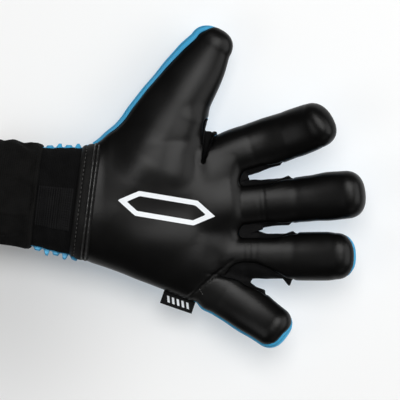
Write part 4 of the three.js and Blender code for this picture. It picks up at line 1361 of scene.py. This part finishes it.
knit = tube_sheet("wrist_knit_palm_side", (2.0, 40.0), (8, 173), out=-0.2, thick=1.8,
                  material=KNIT, relief=knit_relief, step=1.2)
blend_wrist(knit)
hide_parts("wrist_front_knit", "cuff_knit")

# ribbed blue panel on the back: station, height, and where each rib's flank starts and ends
RIBS = [
    (4.8, 1.7, 3.1, 2.0), (11.9, 2.9, 2.3, 1.1), (18.9, 1.7, 3.1, 2.0), (26.1, 2.9, 2.3, 1.1),
    (33.3, 1.7, 3.1, 2.0),
]


def rib_relief(at):
    ribs = sum(
        height * smoothstep(foot, crest, np.abs(at.station - station))
        for station, height, foot, crest in RIBS
    )
    # the ribs are broken into blocks along their length
    blocks = 0.6 + 0.4 * smoothstep(-0.8, -0.5, np.sin(at.arc * 0.62))
    first_side = bell(at.arc - 6, 7)  # fuller near the first angle
    swell = 1 + 0.5 * first_side
    return ribs * blocks * swell + 0.5 * first_side + rolled_edge(at.end, 1.2, 0.6)


def rib_painted_shade(at):
    # painted shade at each rib's flanks
    return sum(0.5 * bell(np.abs(at.station - rib[0]) - 2.3, 0.8) for rib in RIBS)


ribbed = tube_sheet("wrist_ribs_back_side", (1.5, 39.5), (174.5, 366.5), out=-0.2, thick=2.6,
                    material=BACK_LATEX, relief=rib_relief, step=0.95,
                    painted_shade_amount=rib_painted_shade)
blend_wrist(ribbed)
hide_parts("wrist_front_back_panel", "cuff_back_panel", "wrist_inner_knit")


# sewn patch of ribbed elastic
def patch_relief(at):
    edge = np.minimum(at.side, at.end)
    inner = smoothstep(0.6, 2.0, edge)
    ribs = 0.28 * np.sin(2 * math.pi * at.station / 1.9) * inner * smoothstep(16, 20, at.station)
    rows = 0.22 * np.sin(2 * math.pi * at.arc / 2.1) * inner
    rows = rows * (1 - smoothstep(14, 18, at.station))
    return ribs + rows - 0.55 * smoothstep(1.2, 0, edge)


patch = tube_sheet("elastic_patch", (10.2, 37.6), (80, 121), out=0.55, thick=0.9,
                   material=PATCH, relief=patch_relief, step=0.5)
blend_wrist(patch)
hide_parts("elastic_patch_front", "elastic_patch_rear")

# folded binding along the palm's lower edge
BINDING_STATIONS = (-6.4, 8.2)
BINDING_GROOVE = 0.76  # fraction across the binding where its stitches lie


def binding_relief(at):
    t, groove = at.across, at.across - BINDING_GROOVE
    roll = -1.5 * np.abs(2 * t - 1) ** 7
    fold = -0.9 * bell(t - 0.245, 0.04)
    grooves = -0.75 * bell(groove, 0.05) - 0.25 * bell(t - 0.34, 0.05)
    pucker = 0.13 * np.sin(at.arc * 2.0) * (bell(groove, 0.12) + 0.6 * bell(t - 0.235, 0.08))
    return 1.0 + roll + fold + grooves + pucker + 0.15 * np.sin(at.arc * 0.21)


def binding_painted_shade(at):
    # painted shade in the binding's two grooves
    return 0.85 * (bell(at.across - 0.155, 0.04) + bell(at.across - BINDING_GROOVE, 0.05))


binding = tube_sheet("palm_binding_tape", BINDING_STATIONS, (9, 162), out=1.0, thick=1.6,
                     material=BINDING_PAINTED_SHEEN, relief=binding_relief, step=0.75,
                     painted_shade_amount=binding_painted_shade)
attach(binding, "palm")
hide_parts("palm_binding")


def fold_relief(at):
    crown = 1.15 * np.sqrt(np.clip(1 - (2 * at.across - 1) ** 2, 0, 1))
    uneven = 0.10 * np.sin(at.arc * 1.3) + 0.12 * np.sin(at.arc * 0.37)
    return (crown + uneven) * smoothstep(0, 2, at.end)


FOLD_WIDTH = 1.9
# the folds carry a painted highlight in their lighter colour
for i, station in enumerate((-5.3, -2.5)):
    fold = tube_sheet(f"binding_fold_{i + 1}", (station, station + FOLD_WIDTH), (9.5, 161.5),
                      out=1.7, thick=1.4, material=FOLD_PAINTED_HIGHLIGHT, relief=fold_relief,
                      step=0.32)
    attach(fold, "palm")


# ------------------------------------------------------------------ strap, pads and hem
def cloth_ripple(points, hold, grow=0.05, frames=24, limit=1.6):
    """Lets a closed woven band, cut a little too long, settle into ripples.

    points is a grid in mm and hold is true where the cloth is sewn down. The cloth runs ten times
    larger than life, where the solver is steady, and comes back as a move along its normals.
    """
    _, quads = grid_quads(*points.shape[:2], closed=True)
    obj = mesh_object("cloth_in_progress", points.reshape(-1, 3) / 100, quads)
    group = obj.vertex_groups.new(name="held")
    group.add(np.flatnonzero(hold).tolist(), 1.0, "REPLACE")
    modifier = obj.modifiers.new("cloth", "CLOTH")
    cloth = modifier.settings
    cloth.quality = 7
    cloth.mass = 0.12
    cloth.tension_stiffness = cloth.compression_stiffness = 14
    cloth.shear_stiffness = 6
    cloth.bending_stiffness = 0.35
    cloth.tension_damping = cloth.compression_damping = 8
    cloth.bending_damping = 0.8
    cloth.air_damping = 3
    cloth.vertex_group_mass = "held"
    cloth.shrink_min = cloth.shrink_max = -grow
    cloth.effector_weights.gravity = 0.1
    modifier.point_cache.frame_start, modifier.point_cache.frame_end = 1, frames
    scene = bpy.context.scene
    for k in range(1, frames + 1):
        scene.frame_set(k)
    settled_mesh = obj.evaluated_get(bpy.context.evaluated_depsgraph_get()).data
    settled = np.empty(len(settled_mesh.vertices) * 3)
    settled_mesh.vertices.foreach_get("co", settled)
    settled = settled.reshape(points.shape) * 100
    mesh = obj.data
    bpy.data.objects.remove(obj)
    bpy.data.meshes.remove(mesh)
    scene.frame_set(1)
    round_band = np.roll(points, -1, 1) - np.roll(points, 1, 1)
    normals = unit(np.cross(round_band, np.gradient(points, axis=0)), 1e-9)
    outwards = points - points.mean(1, keepdims=True)
    normals *= np.where((normals * outwards).sum(2, keepdims=True) < 0, -1, 1)
    return limit * np.tanh(((settled - points) * normals).sum(2) / limit)


STRAP_STATIONS = (38.2, 83.2)
STRAP_OUT, STRAP_STEP = 2.1, 1.15


def strap_relief(at):
    waves = 0.45 * np.sin(at.arc * 0.055 + 0.7) * np.sin(at.station * 0.12)
    waves += 0.3 * np.sin(at.arc * 0.17 + at.station * 0.05)
    waves += 0.5 * bell(np.cos(at.angle) - 1, 0.25) * np.sin(at.station * 0.42 + 0.8)
    return waves + rolled_edge(at.side, 1.5, 1.0) - 0.35 * bell(at.side - 3.2, 0.6)


def strap_ripple():
    at = sheet_place(STRAP_STATIONS, (0, 360), STRAP_STEP, closed=True)
    # the cloth's arcs stop one step short of the whole way round
    columns = at.arc.shape[1]
    at = at._replace(arc=at.arc * (columns - 1) / columns)
    band = tube_point(at.station, at.angle, STRAP_OUT + strap_relief(at))
    degrees = np.degrees(at.angle)
    held = (at.station < 39.6) | (at.station > 81.8) | ((degrees > 196) & (degrees < 328))
    ripple = cloth_ripple(band, held)
    ripple = ripple * smoothstep(38.2, 42, at.station) * smoothstep(83.2, 79.5, at.station)
    return np.maximum(ripple, -1.0)


ripple = strap_ripple()
# the strap has painted shade in the groove by each hem
strap = tube_sheet("strap_band_knit", STRAP_STATIONS, (0, 360), out=STRAP_OUT, thick=1.7,
                   material=STRAP,
                   relief=lambda at: strap_relief(at) + ripple, step=STRAP_STEP,
                   painted_shade_amount=lambda at: 0.5 * bell(at.side - 3.2, 0.6), closed=True)
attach(strap, "cuff")
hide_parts("strap_band")


def pile_relief(height, pitch):
    """Small bumps; pitch is in radians per mm."""
    return lambda at: height * np.sin(at.arc * pitch) * np.sin(at.station * pitch)


loop = tube_sheet("loop_pad_pile", (43, 78), (232, 312), out=3.4, thick=0.7, material=PILE,
                  relief=pile_relief(0.12, 2.2), step=0.9)
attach(loop, "cuff")
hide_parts("loop_pad")
hook = tube_sheet("hook_pad_rows", (45, 76), (262, 310), out=4.3, thick=0.6, material=PILE,
                  relief=pile_relief(0.1, 2.6), step=0.9)
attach(hook, "strap_tail")
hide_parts("hook_pad")


def tail_edge(at):
    return np.minimum(at.side, np.minimum(at.arc + 3, at.length - at.arc))


def tail_relief(at):
    edge = tail_edge(at)
    root = -3.7 * (1 - smoothstep(0.6, 5.6, at.arc))
    hemmed = rolled_edge(edge, 1.3, 0.8) - 0.4 * bell(edge - 2.8, 0.5)
    return root + hemmed + 0.12 * np.sin(at.arc * 0.5)


# the tail has painted shade in the groove inside its hem
tail = tube_sheet("strap_tail_knit", (40.5, 80.5), (196, 318), out=5.9, thick=1.6,
                  material=STRAP, relief=tail_relief, step=1.0,
                  painted_shade_amount=lambda at: 0.5 * bell(tail_edge(at) - 2.8, 0.5))
tail_from, tail_to = (tube_point(60.5, math.radians(angle), 5.0) for angle in (199.5, 214.5))
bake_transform(tail)
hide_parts("strap_tail")


def hem_relief(at):
    return -0.9 * np.abs((at.station - 85.9) / 2.5) ** 4 + 0.1 * np.sin(at.arc * 1.6)


hem = tube_sheet("cuff_hem_tape", (83.4, 88.4), (0, 360), out=0.9, thick=3.6, material=TAPE,
                 relief=hem_relief, step=0.9, closed=True)
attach(hem, "cuff")
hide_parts("cuff_hem")
sleeve = tube_sheet("sleeve_lining", (1.0, 84.0), (0, 360), out=-2.9, thick=0.9,
                    material=LINING, relief=lambda at: 0.08 * np.sin(at.arc),
                    step=2.0, closed=True)
blend_wrist(sleeve)

# ------------------------------------------------------------------ badge
# A rounded rectangle on the strap's tail, its moulded face towards -z
BADGE_HALF_LENGTH, BADGE_HALF_WIDTH = 17.0 - 0.15, 10.0 - 0.15
BADGE_RINGS, BADGE_SIDES = 15, 96


def make_badge():
    low, high = (to_build(corner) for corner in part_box("strap_badge"))
    centre = (low + high)[:2] / 2
    angle = np.linspace(0, 2 * math.pi, BADGE_SIDES, endpoint=False)
    power = 2 / 4.5
    unit_x = np.sign(np.cos(angle)) * np.abs(np.cos(angle)) ** power
    unit_y = np.sign(np.sin(angle)) * np.abs(np.sin(angle)) ** power
    turn = math.pi / 2 - LEAN
    cos, sin = math.cos(turn), math.sin(turn)
    rings = []
    for i in range(BADGE_RINGS):
        size = np.sin(i / (BADGE_RINGS - 1) * math.pi / 2)
        x, y = BADGE_HALF_LENGTH * size * unit_x, BADGE_HALF_WIDTH * size * unit_y
        inset = (1 - size) * BADGE_HALF_WIDTH
        relief = (
            -0.5 * smoothstep(1.2, 2.0, inset)  # groove inside the rim
            + 0.45 * smoothstep(3.4, 4.2, inset)  # raised middle
            - 0.9 * smoothstep(0.5, 0.0, inset)  # rounded edge
        )
        z = np.full(BADGE_SIDES, low[2] + 0.02) - np.minimum(relief, 0.0)
        rings.append(np.stack([centre[0] + x * cos - y * sin, centre[1] + x * sin + y * cos, z], 1))
    face = np.stack(rings)
    base = face.copy()
    base[..., 2] = high[2]
    for grid in (face, base):  # the first ring is a tiny hole round the centre
        grid[0, :, :2] = centre
        grid[0] = grid[0] + (grid[1] - grid[0]) * 0.05
    badge = grid_solid("strap_badge_moulded", face, base, BADGE, closed=True)
    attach(badge, "strap_tail")
    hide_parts("strap_badge")


make_badge()


# ------------------------------------------------------------------ stitches
def stitch_row(name, path, normals, length, width, material, slot, body, gap):
    """Stitches along a path: short rounded threads, slightly sunk at their ends."""
    run = np.concatenate([[0], np.cumsum(np.linalg.norm(np.diff(path, axis=0), axis=1))])
    count = int(run[-1] / (length + gap))
    rings, sides = 5, 6

    def path_at(place, values):
        return np.array([np.interp(place, run, values[:, j]) for j in range(3)])

    points, faces = [], []
    for i in range(count):
        middle = (i + 0.5) * run[-1] / count
        fractions = np.linspace(-1, 1, rings)
        centres = [path_at(middle + u * length / 2, path) for u in fractions]
        normal = unit(path_at(middle, normals))
        sideways = np.cross(unit(centres[-1] - centres[0]), normal)
        base = len(points)
        for u, centre in zip(fractions, centres):
            radius = width / 2 * math.sqrt(max(0.04, 1 - u * u))
            rise = 0.28 * width * (1 - u * u) - 0.12 * width
            for side in range(sides):
                angle = 2 * math.pi * side / sides
                up = radius * math.sin(angle) + rise
                points.append(centre + sideways * radius * math.cos(angle) + normal * up)
        for ring in range(rings - 1):
            for side in range(sides):
                a = base + ring * sides + side
                b = base + ring * sides + (side + 1) % sides
                faces.append((a, b, b + sides, a + sides))
        for ring, order in ((0, -1), (rings - 1, 1)):
            cap = [base + ring * sides + side for side in range(sides)][::order]
            faces += [tuple(cap[:4]), (cap[0], *cap[3:])]
    points, faces = np.array(points), np.array(faces)
    zeros = np.zeros(len(points))
    attributes = {"rest": points / 1000, "painted_shade": zeros, "tint": zeros}
    obj = mesh_object(name, to_row(points), faces[:, ::-1], attributes=attributes,
                      material=material)
    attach(obj, body)


def tube_path(station, first, last, out, count=400):
    """Points round the wrist between two angles in degrees, and their outward normals."""
    angle = np.radians(np.linspace(first, last, count))
    path = tube_point(station, angle, out)
    return path, unit(tube_point(station, angle, out + 1.0) - path)


def palm_path(plan):
    """Plan points lifted to the palm side of the skin, and the skin's normals there."""
    low, high = np.full(len(plan), -2.0), np.full(len(plan), 40.0)
    for _ in range(30):
        middle = (low + high) / 2
        inside = fields(np.column_stack([plan, middle]))["skin"] < 0
        low, high = np.where(inside, middle, low), np.where(inside, high, middle)
    path = np.column_stack([plan, low])
    return path, unit(gradient(path))


groove_station = BINDING_STATIONS[0] + (BINDING_STATIONS[1] - BINDING_STATIONS[0]) * BINDING_GROOVE
stitch_row("binding_stitches", *tube_path(groove_station, 12, 159, 1.5), length=2.3, width=0.5,
           material=THREAD, slot="tape", body="palm", gap=1.1)
for k, station in enumerate((41.4, 80.0)):
    stitch_row(f"strap_stitches_{k + 1}", *tube_path(station, 1, 359, 1.95, 900), length=2.4,
               width=0.5, material=TAPE, slot="elastic_knit", body="cuff", gap=1.0)
for k, station in enumerate((43.3, 77.7)):
    stitch_row(f"tail_stitches_{k + 1}", *tube_path(station, 210, 314, 6.1), length=2.4,
               width=0.5, material=THREAD, slot="elastic_knit", body="strap_tail", gap=1.0)
slot_end = np.linspace([94.9, 47.9, 0.6], [99.3, 50.0, 1.0], 12)
stitch_row("slot_seam_end", slot_end, np.tile([0.0, 0.0, 1.0], (12, 1)), length=4.8, width=3.3,
           material=BINDING_PAINTED_SHEEN, slot="tape", body="palm", gap=-0.1)
tack_plan = np.linspace([85.6, -70.0], [88.6, -75.4], 30)
stitch_row("label_bartack", *palm_path(tack_plan), length=1.5, width=0.5, material=THREAD,
           slot="tape", body="palm", gap=0.5)
finger_plan = np.linspace([83.0, -72.4], [107.5, -51.6], 160) + np.array([0.62, -0.78]) * 2.3
stitch_row("finger_panel_stitches", *palm_path(finger_plan), length=2.0, width=0.36,
           material=TAPE, slot="tape", body="palm", gap=1.1)

# ------------------------------------------------------------------ side label
LABEL_HALF_LENGTH, LABEL_REACH = 12.9, 10.8
LABEL_HALF_THICK = 0.42
label_hinge = to_build(JOINTS["label_fold"]["pos_m"])
label_axis = np.array(JOINTS["label_fold"]["axis"], float)
label_out = np.array([label_axis[1], -label_axis[0], 0.0])
label_out /= np.linalg.norm(label_out)
if label_out[1] > 0:  # away from the hand, towards -y
    label_out = -label_out


def label_point(along, outward, lift):
    """Points above the slightly curled middle of the label."""
    curl = 0.9 * np.sin((along + 13) / 26 * math.pi) * 0.4
    curl = curl + 0.012 * outward**2 * np.cos(along * 0.12)
    point = label_hinge + along[..., None] * label_axis + outward[..., None] * label_out
    point[..., 2] += 0.2 + curl * 0.6 + lift
    return point


def make_label():
    along, outward = np.meshgrid(
        np.linspace(-LABEL_HALF_LENGTH, LABEL_HALF_LENGTH, 40),
        np.linspace(-1.2, LABEL_REACH, 18), indexing="ij",
    )
    edge = np.minimum(LABEL_HALF_LENGTH - np.abs(along), LABEL_REACH - outward)
    half = LABEL_HALF_THICK - 0.3 * smoothstep(1.0, 0.0, edge)
    label = grid_solid("side_label_woven", label_point(along, outward, half),
                       label_point(along, outward, -half), LABEL)
    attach(label, "side_label")
    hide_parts("side_label")


def make_label_bars():
    """Five plain slanted bars."""
    outward, across = np.meshgrid(
        np.linspace(3.6, 8.2, 10), np.linspace(-0.95, 0.95, 5), indexing="ij"
    )
    for k in range(5):
        along = -7.6 + 3.9 * k + across + (outward - 5.9) * 0.45
        top = label_point(along, outward, LABEL_HALF_THICK + 0.1)
        bottom = top.copy()
        bottom[..., 2] -= 0.12
        bar = grid_solid(f"side_label_bar_{k + 1}", top, bottom, LABEL_MARK)
        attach(bar, "side_label")


make_label()
make_label_bars()


# ------------------------------------------------------------------ stage
def floor_material():
    """White with a faint glow, painted light that lifts the shadows; the glow is dimmest round a point
    beside the wrist, on the side of -y, a painted shadow there.
    """
    material = bpy.data.materials.new("floor_glow_painted_shadow")
    material.use_nodes = True
    tree = material.node_tree
    inputs = tree.nodes["Principled BSDF"].inputs
    inputs["Base Color"].default_value = (0.51, 0.512, 0.514, 1)
    inputs["Roughness"].default_value = 0.9
    inputs["Specular IOR Level"].default_value = 0.1
    # the floor's emission is painted light; the floor is no lamp
    inputs["Emission Color"].default_value = (0.995, 1.0, 0.995, 1)
    geometry = tree.nodes.new("ShaderNodeNewGeometry")
    away = tree.nodes.new("ShaderNodeVectorMath")
    away.operation = "DISTANCE"
    away.inputs[1].default_value = to_row((-75, -78, -26))
    glow = tree.nodes.new("ShaderNodeMapRange")
    glow.interpolation_type = "SMOOTHSTEP"
    # distance in metres to emission strength: painted shadow near the point, painted light further out
    ends = {"From Min": 0.0, "From Max": 0.17, "To Min": 0.14, "To Max": 0.40}
    for key, value in ends.items():
        glow.inputs[key].default_value = value
    tree.links.new(geometry.outputs["Position"], away.inputs[0])
    tree.links.new(away.outputs["Value"], glow.inputs["Value"])
    tree.links.new(glow.outputs["Result"], inputs["Emission Strength"])
    return material


def make_world():
    """A dim light all round, and a bright surround that only the camera sees."""
    world = bpy.data.worlds.new("studio")
    bpy.context.scene.world = world
    world.use_nodes = True
    nodes, links = world.node_tree.nodes, world.node_tree.links
    ambient = nodes["Background"]
    ambient.inputs["Color"].default_value = (0.97, 0.98, 1.0, 1)
    ambient.inputs["Strength"].default_value = 0.07
    surround = nodes.new("ShaderNodeBackground")
    surround.inputs["Color"].default_value = (0.93, 0.935, 0.94, 1)
    surround.inputs["Strength"].default_value = 0.85
    rays = nodes.new("ShaderNodeLightPath")
    pick = nodes.new("ShaderNodeMixShader")
    links.new(rays.outputs["Is Camera Ray"], pick.inputs[0])
    links.new(ambient.outputs[0], pick.inputs[1])
    links.new(surround.outputs[0], pick.inputs[2])
    links.new(pick.outputs[0], nodes["World Output"].inputs["Surface"])


def area_light(name, offset, height, size, power, colour=(1, 1, 1)):
    """A rectangular light aimed at the palm; offset in metres from the palm, in plan."""
    target = Vector(to_row((60, 0, 5)))
    light = bpy.data.lights.new(name, "AREA")
    light.shape = "RECTANGLE"
    light.size, light.size_y = size
    light.energy = power
    light.color = colour
    obj = bpy.data.objects.new(name, light)
    obj.location = location = (target.x + offset[0], target.y + offset[1], height)
    obj.rotation_euler = (target - Vector(location)).to_track_quat("-Z", "Y").to_euler()
    bpy.context.scene.collection.objects.link(obj)


def make_camera():
    """Straight above the palm, as far away as a long lens stands."""
    view_width, distance = 308.0, 2400.0
    camera = bpy.data.cameras.new("camera")
    obj = bpy.data.objects.new("camera", camera)
    bpy.context.scene.collection.objects.link(obj)
    centre = to_row((86.24, -2.31, 4.0))
    obj.location = (centre[0], centre[1], centre[2] + distance / 1000)
    obj.rotation_euler = (0, 0, 0)
    camera.sensor_width = 36
    camera.lens = 36 * distance / view_width
    camera.clip_start, camera.clip_end = 0.05, 20
    bpy.context.scene.camera = obj


bpy.ops.mesh.primitive_plane_add(size=6, location=(0, 0, -0.0015))
floor = bpy.context.object
floor.name = "floor"
floor.data.materials.append(floor_material())
make_world()
area_light("key", offset=(0.16, 0.46), height=1.42, size=(0.9, 0.8), power=15.3,
           colour=(1.0, 0.995, 0.985))
area_light("right", offset=(1.18, 0.18), height=0.93, size=(1.3, 1.1), power=13.0,
           colour=(1.0, 0.997, 0.99))
area_light("left", offset=(-0.78, -0.24), height=0.95, size=(0.55, 0.5), power=2.0)
area_light("low", offset=(0.5, -1.1), height=1.0, size=(0.8, 0.6), power=0.7)
make_camera()
bpy.context.scene.view_settings.view_transform = "Standard"
bpy.context.scene.view_settings.look = "None"

bpy.context.view_layer.update()
